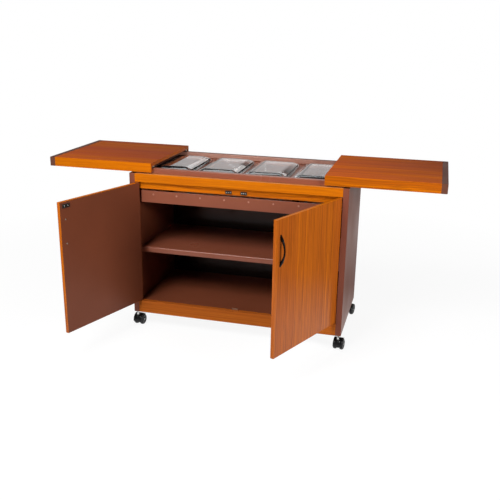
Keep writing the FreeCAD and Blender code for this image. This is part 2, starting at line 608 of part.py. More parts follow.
def lid(x):
    """A hollow cover with four sloping sides and a flat top."""
    def level(z):
        return V(x, DISH_MIDDLE, z)

    edge_top = LID_BOTTOM + LID_EDGE
    top = edge_top + LID_RISE
    run = 2 * LID_SLOPE_RUN
    shrink = 2 * LID_WALL
    cover = fused([slab(level(LID_BOTTOM), LID_WIDTH, LID_LENGTH, LID_CORNER, LID_EDGE),
                   tapered((level(edge_top), LID_WIDTH, LID_LENGTH, LID_CORNER),
                           (level(top), LID_WIDTH - run, LID_LENGTH - run, LID_TOP_CORNER))])
    top_edges = [e for e in cover.Edges if e.BoundBox.ZMin > top - SEAT_GAP]
    cover = cover.makeFillet(LID_ROUNDING, top_edges)
    hollow = tapered((level(LID_BOTTOM), LID_WIDTH - shrink, LID_LENGTH - shrink, LID_CORNER - LID_WALL),
                     (level(top - LID_WALL), LID_WIDTH - run - shrink, LID_LENGTH - run - shrink,
                      LID_TOP_CORNER - LID_WALL))
    return cover.cut(hollow)


for number, x in enumerate(DISH_PLACES, 1):
    nodes["dish_%d" % number] = dish(x)
    nodes["lid_%d" % number] = lid(x)

# Sliding leaves, built shut and then drawn out
leaf_cap = LEAF_OUTER + END_CAP_WIDTH
leaf_span = (leaf_cap, LEAF_INNER)
top_section = [(0, LEAF_TOP), (LEAF_GAUGE, LEAF_UNDERSIDE), (LEAF_DEPTH - LEAF_GAUGE, LEAF_UNDERSIDE),
               (LEAF_DEPTH, LEAF_TOP)]
apron_section = [(0, LEAF_TOP), (0, LEAF_BOTTOM), (LEAF_GAUGE, LEAF_BOTTOM), (LEAF_GAUGE, LEAF_UNDERSIDE)]
apron = bar(apron_section, leaf_span)
cap = block((LEAF_OUTER, leaf_cap), (0, LEAF_DEPTH), (LEAF_BOTTOM, LEAF_TOP))
cap_edges = [e for e in cap.Edges if e.BoundBox.XMax < leaf_cap - END_CAP_ROUNDING]
cap = cap.makeFillet(END_CAP_ROUNDING, cap_edges)

# Runners under each leaf: a pad on the slide rail and a hook under its flange near the leaf's inner end
pad_bottom = SLIDE_TOP + RUNNER_CLEARANCE
leg = (slide_lip + RUNNER_CLEARANCE, slide_lip + RUNNER_CLEARANCE + RUNNER_LEG)
hook_top = SLIDE_TOP - SLIDE_GAUGE - RUNNER_CLEARANCE
hook_bottom = hook_top - RUNNER_HOOK
runner_inner = LEAF_INNER - RUNNER_SETBACK
hook_outer = -SLIDE_HALF + SLIDE_GAUGE + RUNNER_STOP_GAP + LEAF_TRAVEL
pad = block((leaf_cap, runner_inner), (SLIDE_FACE + SLIDE_GAUGE, leg[1]), (pad_bottom, LEAF_UNDERSIDE))
hook = [block((hook_outer, runner_inner), leg, (hook_bottom, pad_bottom)),
        block((hook_outer, runner_inner), (hook_reach, leg[0]), (hook_bottom, hook_top))]
runner = fused([pad] + hook)
leaf_pieces = {"leaf_top": bar(top_section, leaf_span), "leaf_end_cap": cap,
               "leaf_aprons": Part.makeCompound([apron, front_to_rear(apron)]),
               "leaf_runners": Part.makeCompound([runner, runner.translated(rear_slide_shift)])}
for name, piece in leaf_pieces.items():
    twin = mirrored(piece)
    nodes["left_" + name] = piece.translated(V(-LEAF_TRAVEL, 0, 0))
    nodes["right_" + name] = twin.translated(V(LEAF_TRAVEL, 0, 0))


# Castors, built with the stem axis on x = y = 0 and trailing along +x
def wheel(inner_face, side):
    """One wheel about the axle, from its inner face outwards to a side."""
    recess = WHEEL_RADIUS - WHEEL_RIM

    def point(radius, depth):
        return V(CASTOR_TRAIL, side * (inner_face + depth), FLOOR + WHEEL_RADIUS + radius)

    floor_of_recess = WHEEL_WIDTH - WHEEL_RECESS
    corners = [point(AXLE_RADIUS, 0), point(WHEEL_RADIUS, 0), point(WHEEL_RADIUS, WHEEL_WIDTH),
               point(recess, WHEEL_WIDTH), point(recess - WHEEL_RECESS, floor_of_recess),
               point(WHEEL_HUB_RADIUS + WHEEL_RECESS, floor_of_recess), point(WHEEL_HUB_RADIUS, WHEEL_WIDTH),
               point(AXLE_RADIUS, WHEEL_WIDTH)]
    disc = Part.Face(Part.makePolygon(corners + corners[:1])).revolve(point(0, 0), V(0, 1, 0), 360)
    rings = [e for e in disc.Edges if e.Curve.TypeId == "Part::GeomCircle"]
    shoulders = [e for e in rings if e.Curve.Radius > recess + WHEEL_RIM / 2]
    return disc.makeFillet(WHEEL_SHOULDER, shoulders)


def castor_pieces():
    """A castor's moving pieces by name."""
    axle_z = FLOOR + WHEEL_RADIUS
    axle_at = V(CASTOR_TRAIL, 0, axle_z)
    half_gap = WHEEL_SPACING / 2
    web_half = half_gap - HOUSING_CLEARANCE
    reach = half_gap + WHEEL_WIDTH
    hood_inner = WHEEL_RADIUS + HOOD_CLEARANCE
    hood_outer = hood_inner + HOOD_GAUGE

    def sector(inner, outer, half_width):
        start = math.radians(HOOD_START)
        ray = V(math.cos(start), 0, math.sin(start))
        corners = [axle_at + ray * r + V(0, side, 0) for r, side in
                   ((inner, -half_width), (outer, -half_width), (outer, half_width), (inner, half_width))]
        return Part.Face(Part.makePolygon(corners + corners[:1])).revolve(axle_at, V(0, -1, 0), HOOD_SWEEP)

    web = rod(WHEEL_RADIUS - HOUSING_TUCK, axle_at - V(0, web_half, 0), axle_at + V(0, web_half, 0))
    web = web.cut(rod(AXLE_RADIUS + AXLE_CLEARANCE, axle_at - V(0, web_half, 0), axle_at + V(0, web_half, 0)))
    bridge = sector(WHEEL_RADIUS - WHEEL_RIM, hood_outer, web_half)
    hood = sector(hood_inner, hood_outer, HOOD_WIDTH / 2)
    boss = rod(web_half, V(0, 0, axle_z), V(0, 0, FLOOR + BOSS_TOP))
    housing = fused([web, bridge, hood, boss])
    stem_foot = V(0, 0, FLOOR + BOSS_TOP - STEM_ENGAGEMENT)
    housing = housing.cut(rod(STEM_PIN_RADIUS + AXLE_CLEARANCE, stem_foot, V(0, 0, FLOOR + BOSS_TOP)))
    wheels = Part.makeCompound([wheel(half_gap, 1), wheel(half_gap, -1)])
    axle = rod(AXLE_RADIUS, axle_at - V(0, reach, 0), axle_at + V(0, reach, 0))
    return {"housing": housing, "wheels": wheels, "axle": axle}


stems = []
for name, place in castor_stations().items():
    for piece_name, piece in castor_pieces().items():
        turned = piece.rotate(V(0, 0, 0), V(0, 0, 1), CASTOR_TURNS[name])
        nodes["%s_castor_%s" % (name, piece_name)] = turned.translated(place)
    shoulder = place + V(0, 0, FLOOR + BOSS_TOP + SEAT_GAP)
    stems.append(fused([rod(STEM_PIN_RADIUS, shoulder - V(0, 0, STEM_ENGAGEMENT), shoulder),
                        rod(STEM_RADIUS, shoulder, place + V(0, 0, STEM_GRIP)),
                        rod(STEM_COLLAR_RADIUS, place - V(0, 0, STEM_COLLAR), place)]))
nodes["castor_stems"] = Part.makeCompound(stems)

os.makedirs("parts", exist_ok=True)
for name, shape in nodes.items():
    shape.translated(ORIGIN_SHIFT).exportStep("parts/%s.step" % name)
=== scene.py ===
"""The looks of a food warmer trolley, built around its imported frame. Lengths are in metres."""
import json
import math

import bmesh
import bpy
from mathutils import Matrix, Vector


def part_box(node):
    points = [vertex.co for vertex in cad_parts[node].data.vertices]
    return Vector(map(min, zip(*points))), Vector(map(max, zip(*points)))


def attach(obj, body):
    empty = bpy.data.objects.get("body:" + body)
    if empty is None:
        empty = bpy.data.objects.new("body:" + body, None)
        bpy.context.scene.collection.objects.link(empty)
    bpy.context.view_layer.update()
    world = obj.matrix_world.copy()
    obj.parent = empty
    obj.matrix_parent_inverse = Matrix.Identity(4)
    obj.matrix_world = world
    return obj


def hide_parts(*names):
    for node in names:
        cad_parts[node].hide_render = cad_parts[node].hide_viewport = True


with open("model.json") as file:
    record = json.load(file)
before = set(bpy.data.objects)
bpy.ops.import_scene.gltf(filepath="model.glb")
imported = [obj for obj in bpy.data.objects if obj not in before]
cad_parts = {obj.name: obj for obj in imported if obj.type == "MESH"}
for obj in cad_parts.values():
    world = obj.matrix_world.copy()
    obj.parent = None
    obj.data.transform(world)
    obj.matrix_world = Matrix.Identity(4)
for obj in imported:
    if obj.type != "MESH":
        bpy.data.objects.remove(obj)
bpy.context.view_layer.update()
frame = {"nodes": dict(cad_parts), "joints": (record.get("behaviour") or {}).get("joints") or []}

# Camera: at the photograph's viewing angle, in front of the right-hand half and looking a little down and to
# the left, with the slight tilt that the picture has.
CAMERA_PLACE = Vector((0.8017, -2.8239, 1.3797))
CAMERA_YAW = math.radians(14.67)
CAMERA_PITCH = math.radians(-18.20)
CAMERA_ROLL = math.radians(0.90)
CAMERA_LENS = 50.39
UP = Vector((0, 0, 1))


def placed(name, data):
    """A new object in the scene."""
    item = bpy.data.objects.new(name, data)
    bpy.context.scene.collection.objects.link(item)
    return item


ahead = Vector((-math.sin(CAMERA_YAW) * math.cos(CAMERA_PITCH),
                math.cos(CAMERA_YAW) * math.cos(CAMERA_PITCH), math.sin(CAMERA_PITCH)))
level_right = ahead.cross(UP).normalized()
camera_right = level_right * math.cos(CAMERA_ROLL) + level_right.cross(ahead) * math.sin(CAMERA_ROLL)
camera_up = camera_right.cross(ahead)
camera = placed("camera", bpy.data.cameras.new("camera"))
camera.data.lens = CAMERA_LENS
camera.matrix_world = (Matrix.Translation(CAMERA_PLACE)
                       @ Matrix((camera_right, camera_up, -ahead)).transposed().to_4x4())
bpy.context.scene.camera = camera
bpy.context.scene.view_settings.view_transform = "Standard"

# Studio: a white floor and backdrop, a high soft box in front of the left-hand half, one at the right, a weak
# low one in front, and strips overhead and behind. Gloss and glass see a white sheet on the floor and behind,
# and a dim room round it.
FLOOR_REACH = 14.0
FLOOR_BOUNCE = 0.20
FLOOR_GLOW = 0.90
FLOOR_SHADE = 0.13
FLOOR_NEAR = 1.0
FLOOR_FAR = 2.6
SHEET_MIDDLE = (0.0, -0.5, 0.0)
SHEET_EDGE = 0.9
SHEET_END = 1.6
SHEET_LEVEL = 0.72
SHEET_WARMTH = (1.0, 0.945, 0.935, 1)
REAR_SHEET_START = 0.2
REAR_SHEET_FULL = 1.9
REAR_SHEET_SIDE = 1.3
BACKDROP_TOP = 0.32
BACKDROP_FULL = 0.24
BACKDROP_SIDE = -0.2
BACKDROP_REAR = 0.3
AMBIENT = 0.025
ROOM_DIM = 0.04
WHITE = (1, 1, 1, 1)
# The place, size and power of each soft box
SOFT_BOXES = {"high": ((-0.9, -2.55, 3.0), (1.4, 1.4), 114.0), "right": ((3.1, -1.7, 1.2), (1.2, 1.2), 80.0),
              "low": ((-1.7, -3.3, 0.9), (1.2, 1.2), 36.0), "overhead": ((-0.6, 1.25, 2.6), (1.7, 0.3), 7.0),
              "behind": ((-0.2, 3.2, 2.0), (2.2, 0.45), 5.0)}
LIT_POINT = Vector((0.0, 0.0, 0.45))


def node(tree, kind, inputs=None, **settings):
    """A shader or geometry node, with its settings and inputs given as values or as sockets to link."""
    made = tree.nodes.new(kind)
    for name, value in settings.items():
        setattr(made, name, value)
    for socket, value in (inputs or {}).items():
        if isinstance(value, bpy.types.NodeSocket):
            tree.links.new(value, made.inputs[socket])
        else:
            made.inputs[socket].default_value = value
    return made


def maths(tree, operation, *values):
    """The result of a sum on values or sockets."""
    return node(tree, "ShaderNodeMath", dict(enumerate(values)), operation=operation).outputs[0]


def ramp(tree, value, start, end, low=0.0, high=1.0):
    """A value that goes from low to high while another goes from start to end."""
    return node(tree, "ShaderNodeMapRange", {"Value": value, "From Min": start, "From Max": end,
                                             "To Min": low, "To Max": high}).outputs[0]


def rays(tree):
    """One value for rays from the camera, and one for those and for rays that come by gloss or glass."""
    path = node(tree, "ShaderNodeLightPath").outputs
    by_glass = maths(tree, "MAXIMUM", path["Is Glossy Ray"], path["Is Transmission Ray"])
    return path["Is Camera Ray"], maths(tree, "MAXIMUM", path["Is Camera Ray"], by_glass)


def mixed(tree, share, first, second):
    """The shader that lies a share of the way from the first to the second."""
    return node(tree, "ShaderNodeMixShader", {0: share, 1: first.outputs[0], 2: second.outputs[0]})


def mesh_of(name, shape):
    """A shape made into a mesh."""
    mesh = bpy.data.meshes.new(name)
    shape.to_mesh(mesh)
    shape.free()
    return mesh


world = bpy.data.worlds.new("studio")
world.use_nodes = True
bpy.context.scene.world = world
sky = world.node_tree
sky.nodes.clear()
camera_ray, direct_ray = rays(sky)
outlook = node(sky, "ShaderNodeTexCoord").outputs["Generated"]
direction = node(sky, "ShaderNodeSeparateXYZ", {0: outlook}).outputs
low_band = ramp(sky, direction["Z"], BACKDROP_TOP, BACKDROP_FULL, 0.0, SHEET_LEVEL)
behind = maths(sky, "MULTIPLY", ramp(sky, direction["Y"], BACKDROP_SIDE, BACKDROP_REAR), low_band)
mirrored_level = maths(sky, "MAXIMUM", behind, ROOM_DIM)
soft = node(sky, "ShaderNodeBackground", {"Color": WHITE, "Strength": AMBIENT})
white_sky = node(sky, "ShaderNodeBackground", {"Color": WHITE, "Strength": 1.0})
mirrored_sky = node(sky, "ShaderNodeBackground", {"Color": SHEET_WARMTH, "Strength": mirrored_level})
shown_sky = mixed(sky, camera_ray, mirrored_sky, white_sky)
node(sky, "ShaderNodeOutputWorld", {0: mixed(sky, direct_ray, soft, shown_sky).outputs[0]})

floor_white = bpy.data.materials.new("white_floor")
floor_white.use_nodes = True
ground = floor_white.node_tree
ground.nodes.clear()
camera_ray, direct_ray = rays(ground)
spot = node(ground, "ShaderNodeTexCoord").outputs["Object"]
away = node(ground, "ShaderNodeVectorMath", {0: spot}, operation="LENGTH").outputs["Value"]
plan = node(ground, "ShaderNodeSeparateXYZ", {0: spot}).outputs
bounce = node(ground, "ShaderNodeBsdfDiffuse", {"Color": (FLOOR_BOUNCE,) * 3 + (1,)})
shade = node(ground, "ShaderNodeBsdfDiffuse", {"Color": (FLOOR_SHADE,) * 3 + (1,)})
glow = node(ground, "ShaderNodeEmission", {"Strength": FLOOR_GLOW})
white = node(ground, "ShaderNodeEmission", {"Strength": 1.0})
dark = node(ground, "ShaderNodeEmission", {"Strength": ROOM_DIM})
near = node(ground, "ShaderNodeAddShader", {0: shade.outputs[0], 1: glow.outputs[0]})
shown = mixed(ground, ramp(ground, away, FLOOR_NEAR, FLOOR_FAR), near, white)
off_sheet = node(ground, "ShaderNodeVectorMath", {0: spot, 1: SHEET_MIDDLE}, operation="DISTANCE")
rearward = maths(ground, "MULTIPLY",
                 ramp(ground, plan["Y"], REAR_SHEET_START, REAR_SHEET_FULL, 0.0, SHEET_LEVEL),
                 ramp(ground, maths(ground, "ABSOLUTE", plan["X"]), REAR_SHEET_SIDE, SHEET_EDGE))
sheet = maths(ground, "MAXIMUM", ramp(ground, off_sheet.outputs["Value"], SHEET_END, SHEET_EDGE), rearward)
mirrored = mixed(ground, maths(ground, "MAXIMUM", camera_ray, sheet), dark, shown)
node(ground, "ShaderNodeOutputMaterial", {0: mixed(ground, direct_ray, bounce, mirrored).outputs[0]})
floor_shape = bmesh.new()
bmesh.ops.create_grid(floor_shape, x_segments=1, y_segments=1, size=FLOOR_REACH)
floor = placed("floor", mesh_of("floor", floor_shape))
floor.data.materials.append(floor_white)

for name, (place, size, power) in SOFT_BOXES.items():
    lamp = bpy.data.lights.new(name + "_soft_box", "AREA")
    lamp.shape = "RECTANGLE"
    lamp.size, lamp.size_y = size
    lamp.energy = power
    soft_box = placed(name + "_soft_box", lamp)
    soft_box.location = place
    soft_box.rotation_euler = (LIT_POINT - Vector(place)).to_track_quat("-Z", "Y").to_euler()
    # Gloss doesn't mirror the low fill
    soft_box.visible_glossy = name != "low"

# Side panels, floor board and rear rail: chipboard faced and edged in a brown laminate with a fine pressed
# grain, a little glossier on the outer sides. The boards are screwed between the panels, which stand on the
# castor stems.
BROWN_TONES = ((0.215, 0.060, 0.028, 1), (0.180, 0.049, 0.022, 1))
EDGING_TONES = ((0.230, 0.068, 0.040, 1), (0.195, 0.056, 0.032, 1))
LAMINATE_PRESS = {"grain": 1400.0, "depth": 0.0002}
BOARD_ARRIS = 0.0011
ARRIS_STEPS = 3
ARRIS_ANGLE = math.radians(35)
SMOOTH_ANGLE = math.radians(32)
NOISE_SPREAD = (0.3, 0.7)
PATCH_SHARE = 0.7
GRAIN_SHARE = 0.3
GRAIN_BUMP = 0.25
GLOSS_SPREAD = 0.12
FACING_SHARE = 0.7
FRONT = Vector((0, -1, 0))


def new_finish(name):
    """A new material, its node tree, its surface shader, and the place of each point."""
    material = bpy.data.materials.new(name)
    material.use_nodes = True
    tree = material.node_tree
    tree.nodes.clear()
    surface = node(tree, "ShaderNodeBsdfPrincipled")
    node(tree, "ShaderNodeOutputMaterial", {0: surface.outputs[0]})
    return material, tree, surface, node(tree, "ShaderNodeTexCoord").outputs["Object"]


def blend(tree, share, first, second):
    """The colour that lies a share of the way from the first to the second."""
    # The mix node takes colours in sockets 6 and 7 and gives one in output 2
    return node(tree, "ShaderNodeMix", {0: share, 6: first, 7: second}, data_type="RGBA").outputs[2]


def between(tree, value, low, high):
    """A noise value stretched so that its usual spread fills the range from low to high."""
    return ramp(tree, value, *NOISE_SPREAD, low, high)


def noise(tree, place, scale, detail=2.0):
    """A noise value over a vector."""
    made = node(tree, "ShaderNodeTexNoise", {"Vector": place, "Scale": scale, "Detail": detail})
    return made.outputs["Fac"]


def bumped(tree, surface, height, strength, depth):
    """Raises the surface by a height value."""
    bump = node(tree, "ShaderNodeBump", {"Height": height, "Strength": strength, "Distance": depth})
    tree.links.new(bump.outputs[0], surface.inputs["Normal"])


def uneven_gloss(tree, surface, value, roughness, spread):
    """Lets the surface's roughness vary by a share either way with a noise value."""
    varied = between(tree, value, roughness * (1 - spread), roughness * (1 + spread))
    tree.links.new(varied, surface.inputs["Roughness"])


def coated(name, tones, roughness, gloss=0.5, grain=1300.0, depth=0.0001, patches=4.0):
    """A coat with patches of a light and a deep tone and a pressed grain, both in waves to the metre."""
    material, tree, surface, place = new_finish(name)
    patch = noise(tree, place, patches, detail=3.0)
    fine = noise(tree, place, grain)
    tone = maths(tree, "ADD", between(tree, patch, 0.0, PATCH_SHARE), between(tree, fine, 0.0, GRAIN_SHARE))
    tree.links.new(blend(tree, tone, *tones), surface.inputs["Base Color"])
    uneven_gloss(tree, surface, patch, roughness, GLOSS_SPREAD)
    surface.inputs["Specular IOR Level"].default_value = gloss
    bumped(tree, surface, fine, GRAIN_BUMP, depth)
    return material


def block(low, high):
    """A box between two corners."""
    shape = bmesh.new()
    bmesh.ops.create_cube(shape, size=1.0)
    low = Vector(low)
    size = Vector(high) - low
    for vert in shape.verts:
        vert.co = low + Vector((size[i] * (vert.co[i] + 0.5) for i in range(3)))
    return shape


def settled(item):
    """The object's mesh with its modifiers worked in."""
    evaluated = item.evaluated_get(bpy.context.evaluated_depsgraph_get())
    made = bpy.data.meshes.new_from_object(evaluated)
    item.modifiers.clear()
    item.data = made
    made.name = item.name
    return made


def piece(name, shape, body, materials, stands_for=(), arris=0.0):
    """A finished piece on its body, with its sharp edges rounded to an arris where one is given."""
    mesh = mesh_of(name, shape)
    mesh.shade_smooth()
    item = placed(name, mesh)
    if arris:
        rounding = item.modifiers.new("arris", "BEVEL")
        rounding.width = arris
        rounding.segments = ARRIS_STEPS
        rounding.limit_method = "ANGLE"
        rounding.angle_limit = ARRIS_ANGLE
        rounding.harden_normals = True
        settled(item)
    else:
        mesh.set_sharp_from_angle(angle=SMOOTH_ANGLE)
    for material in materials:
        item.data.materials.append(material)
    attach(item, body)
    if stands_for:
        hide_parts(*stands_for)
    return item


def board(node_name, materials, arris=BOARD_ARRIS):
    """A square-edged board of the cabinet in the place of a node."""
    shape = block(*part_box(node_name))
    return piece(node_name + "_board", shape, "cabinet", materials, [node_name], arris)


def faced(item, index, direction, limit=FACING_SHARE):
    """Gives the faces that look in a direction another of the piece's materials."""
    for face in item.data.polygons:
        if face.normal.dot(direction) > limit:
            face.material_index = index


laminate = coated("brown_laminate", BROWN_TONES, roughness=0.36, gloss=0.2, **LAMINATE_PRESS)
edging = coated("brown_edging", EDGING_TONES, roughness=0.40, gloss=0.2, **LAMINATE_PRESS)
side_laminate = coated("brown_side_laminate", BROWN_TONES, roughness=0.36, gloss=0.29, **LAMINATE_PRESS)
for board_name, outwards in (("left_side_panel", -1), ("right_side_panel", 1), ("bottom_board", 0),
                             ("rear_rail", 0)):
    faced_board = board(board_name, [laminate, edging, side_laminate])
    faced(faced_board, 1, FRONT)
    faced(faced_board, 2, Vector((outwards, 0, 0)))

# Front rails: boards wrapped in a teak-coloured print with the grain along them. The fascia closes the front
# of the well, the catch rail behind it carries the door catches, and the plinth joins the panels at the foot.
# The fascia's top face has a paler print, a painted highlight. The catch rail's print is lighter,
# painted light against the fascia's shadow, and the plinth's print darker, painted shade.
TEAK_LIGHT = (0.680, 0.185, 0.002, 1)
TEAK_MID = (0.570, 0.138, 0.002, 1)
TEAK_RED = (0.430, 0.085, 0.005, 1)
TEAK_DARK = (0.240, 0.055, 0.005, 1)
TEAK_TONES = (TEAK_LIGHT, TEAK_MID, TEAK_RED)
# Lighter tones for the catch rail: painted light that makes up for the fascia's shadow on it
CATCH_PAINTED_LIGHT_TONES = ((0.800, 0.215, 0.002, 1), (0.560, 0.120, 0.004, 1), TEAK_RED)
# Paler tones for the fascia's top face: a painted highlight along it
FASCIA_TOP_PAINTED_HIGHLIGHT_TONES = ((0.760, 0.300, 0.090, 1), (0.660, 0.250, 0.070, 1), TEAK_LIGHT)
# Darker, redder tones for the whole plinth: painted shade standing in for the shade on its top face
PLINTH_PAINTED_SHADE_TONES = ((0.620, 0.170, 0.020, 1), (0.460, 0.110, 0.014, 1), (0.350, 0.072, 0.012, 1))
RING_PITCH = 0.011
RING_DRIFT = 3.2
RING_UNEVEN = 2.4
# How dark each ring grows from its start to its end
LATE_WOOD = ((0.45, 0.25), (0.86, 1.0), (0.97, 0.0))
GRAIN_WAVE = 0.006
# Noises of the print: waves to the metre along the grain and across it, and detail
SWAY_WAVES = (1.6, 7.0, 2.0)
FIGURE_WAVES = (1.1, 10.0, 1.5)
UNEVEN_WAVES = (0.3, 45.0, 1.0)
STREAK_WAVES = (1.4, 150.0, 4.0)
THREAD_WAVES = (2.6, 420.0, 2.0)
PORE_WAVES = (22.0, 1300.0, 1.0)
TONE_WAVES = (0.8, 14.0, 4.0)
THREAD_BAND = (0.48, 0.72)
FLECK_BAND = (0.58, 0.72)
FLECK_SHARE = 0.3
FLECK_BUMP = 0.2
FLECK_DEPTH = 0.0002
PRINT_GLOSS = 0.05
PRINT_ROUGHNESS = 0.40
PRINT_SPREAD = 0.15
ALONG_X = Matrix.Identity(3)


def teak(name, turn, tones, seed, drift=RING_DRIFT, redness=0.6, lines=0.25, gloss=PRINT_GLOSS,
         roughness=PRINT_ROUGHNESS):
    """A wood print of light, middle and red tones. turn takes the grain to X, and seed picks the figure."""
    material, tree, surface, place = new_finish(name)
    log = node(tree, "ShaderNodeMapping", {"Vector": place, "Rotation": turn.to_euler(),
                                           "Location": (seed, seed / 3, seed / 7)}).outputs[0]

    def drawn_noise(source, waves):
        """Noise that is drawn out along the grain."""
        along, across, detail = waves
        scaled = node(tree, "ShaderNodeVectorMath", {0: source, 1: (along, across, across)},
                      operation="MULTIPLY")
        return noise(tree, scaled.outputs[0], 1.0, detail)

    sway = between(tree, drawn_noise(log, SWAY_WAVES), -GRAIN_WAVE, GRAIN_WAVE)
    sideways = node(tree, "ShaderNodeCombineXYZ", {"Y": sway, "Z": sway})
    grain = node(tree, "ShaderNodeVectorMath", {0: log, 1: sideways.outputs[0]}).outputs[0]
    rings = node(tree, "ShaderNodeVectorMath", {0: grain, 1: (0, 1 / RING_PITCH, 1 / RING_PITCH)},
                 operation="DOT_PRODUCT").outputs["Value"]
    figure = drawn_noise(grain, FIGURE_WAVES)
    uneven = drawn_noise(grain, UNEVEN_WAVES)
    spread = maths(tree, "MULTIPLY_ADD", uneven, RING_UNEVEN, rings)
    growth = maths(tree, "FRACT", maths(tree, "MULTIPLY_ADD", figure, drift, spread))
    late_wood = node(tree, "ShaderNodeValToRGB", {"Fac": growth})
    stops = late_wood.color_ramp.elements
    stops.remove(stops[1])
    for position, level in LATE_WOOD:
        stops.new(position).color = (level, level, level, 1)
    streak = drawn_noise(grain, STREAK_WAVES)
    thread = drawn_noise(grain, THREAD_WAVES)
    pore = drawn_noise(grain, PORE_WAVES)
    tone = drawn_noise(grain, TONE_WAVES)
    light, middle, red = tones
    base = blend(tree, between(tree, streak, 0.0, 1.0), light, middle)
    base = blend(tree, between(tree, tone, 0.0, redness), base, red)
    base = blend(tree, ramp(tree, thread, *THREAD_BAND, 0.0, lines), base, TEAK_DARK)
    line = maths(tree, "MULTIPLY", late_wood.outputs[0], between(tree, streak, 0.0, lines))
    base = blend(tree, line, base, TEAK_DARK)
    fleck = ramp(tree, pore, *FLECK_BAND, 0.0, FLECK_SHARE)
    base = blend(tree, fleck, base, TEAK_DARK)
    tree.links.new(base, surface.inputs["Base Color"])
    uneven_gloss(tree, surface, streak, roughness, PRINT_SPREAD)
    surface.inputs["Specular IOR Level"].default_value = gloss
    bumped(tree, surface, fleck, FLECK_BUMP, -FLECK_DEPTH)
    return material


fascia_teak = teak("teak_fascia", ALONG_X, TEAK_TONES, seed=0.0, redness=0.25, lines=0.3)
fascia_top_painted_highlight = teak("teak_fascia_top_painted_highlight", ALONG_X, FASCIA_TOP_PAINTED_HIGHLIGHT_TONES, seed=0.4, redness=0.2, gloss=0.3)
catch_rail_painted_light = teak("teak_catch_rail_painted_light", ALONG_X, CATCH_PAINTED_LIGHT_TONES, seed=2.2, redness=0.5, lines=0.5)
plinth_painted_shade = teak("teak_plinth_painted_shade", ALONG_X, PLINTH_PAINTED_SHADE_TONES, seed=5.2, drift=5.0, lines=0.3)
fascia = board("top_fascia", [fascia_teak, fascia_top_painted_highlight])
# The top face takes the painted highlight
faced(fascia, 1, UP)
board("catch_rail", [catch_rail_painted_light])
board("plinth_rail", [plinth_painted_shade])

# Back: a sheet of hardboard, painted dark inside and left bare outside, set between the panels. Plated screws
# with domed heads and cross recesses hold it along its edges.
BARE_TONES = ((0.170, 0.090, 0.048, 1), (0.125, 0.062, 0.032, 1))
HARDBOARD_TONES = ((0.007, 0.004, 0.003, 1), (0.004, 0.002, 0.0015, 1))
HARDBOARD_GRAIN = 420.0
BACK_ARRIS = 0.0006
BACK_MARGIN = 0.010
BACK_COLUMNS = 7
BACK_LEVELS = 2
BACK_SCREW_RADIUS = 0.0036
BACK_SCREW_HEIGHT = 0.0016
HEAD_SEGMENTS = 32
DOME_STEPS = 6
DOME_EDGE = 0.3
RECESS_REACH = 0.6
RECESS_HALF_WIDTH = 0.13
RECESS_FLOOR = 0.5
STEEL_TONES = ((0.72, 0.71, 0.69, 1), (0.52, 0.51, 0.50, 1))
STAIN_SCALE = 60.0
MARK_SCALE = 2500.0
MARK_SPREAD = 0.3
MARK_BUMP = 0.15
MARK_DEPTH = 0.00005
REAR = Vector((0, 1, 0))


def joined(shapes):
    """Several shapes as one mesh."""
    whole = bmesh.new()
    for shape in shapes:
        part = mesh_of("part", shape)
        whole.from_mesh(part)
        bpy.data.meshes.remove(part)
    return whole


def lathe(profile, segments):
    """A solid turned about Z from (radius, height) points."""
    shape = bmesh.new()
    rings = []
    for radius, height in profile:
        turns = [2 * math.pi * k / segments for k in range(segments)] if radius > 0 else [0.0]
        rings.append([shape.verts.new((radius * math.cos(a), radius * math.sin(a), height)) for a in turns])
    for ring, following in zip(rings, rings[1:]):
        for k in range(segments):
            corners = [ring[(k - 1) % len(ring)], ring[k % len(ring)],
                       following[k % len(following)], following[(k - 1) % len(following)]]
            shape.faces.new(list(dict.fromkeys(corners)))
    bmesh.ops.recalc_face_normals(shape, faces=shape.faces)
    return shape


def carved(shape, cutter):
    """A shape with another one cut away from it."""
    items = [placed("solid", mesh_of("solid", solid)) for solid in (shape, cutter)]
    tool = items[0].modifiers.new("cut", "BOOLEAN")
    tool.operation = "DIFFERENCE"
    tool.object = items[1]
    made = bmesh.new()
    made.from_mesh(settled(items[0]))
    for item in items:
        bpy.data.objects.remove(item)
    return made


def screw_head(radius, height):
    """A domed head on the plane z = 0 with a cross recess."""
    rises = [math.pi / 2 * k / DOME_STEPS for k in range(DOME_STEPS)]
    swell = [(radius * math.cos(a), height * (DOME_EDGE + (1 - DOME_EDGE) * math.sin(a))) for a in rises]
    dome = lathe([(0, 0), (radius, 0)] + swell + [(0, height)], HEAD_SEGMENTS)
    reach = radius * RECESS_REACH
    half = radius * RECESS_HALF_WIDTH
    floor_height = height * RECESS_FLOOR
    cross = joined([block((-reach, -half, floor_height), (reach, half, height * 2)),
                    block((-half, -reach, floor_height), (half, reach, height * 2))])
    return carved(dome, cross)


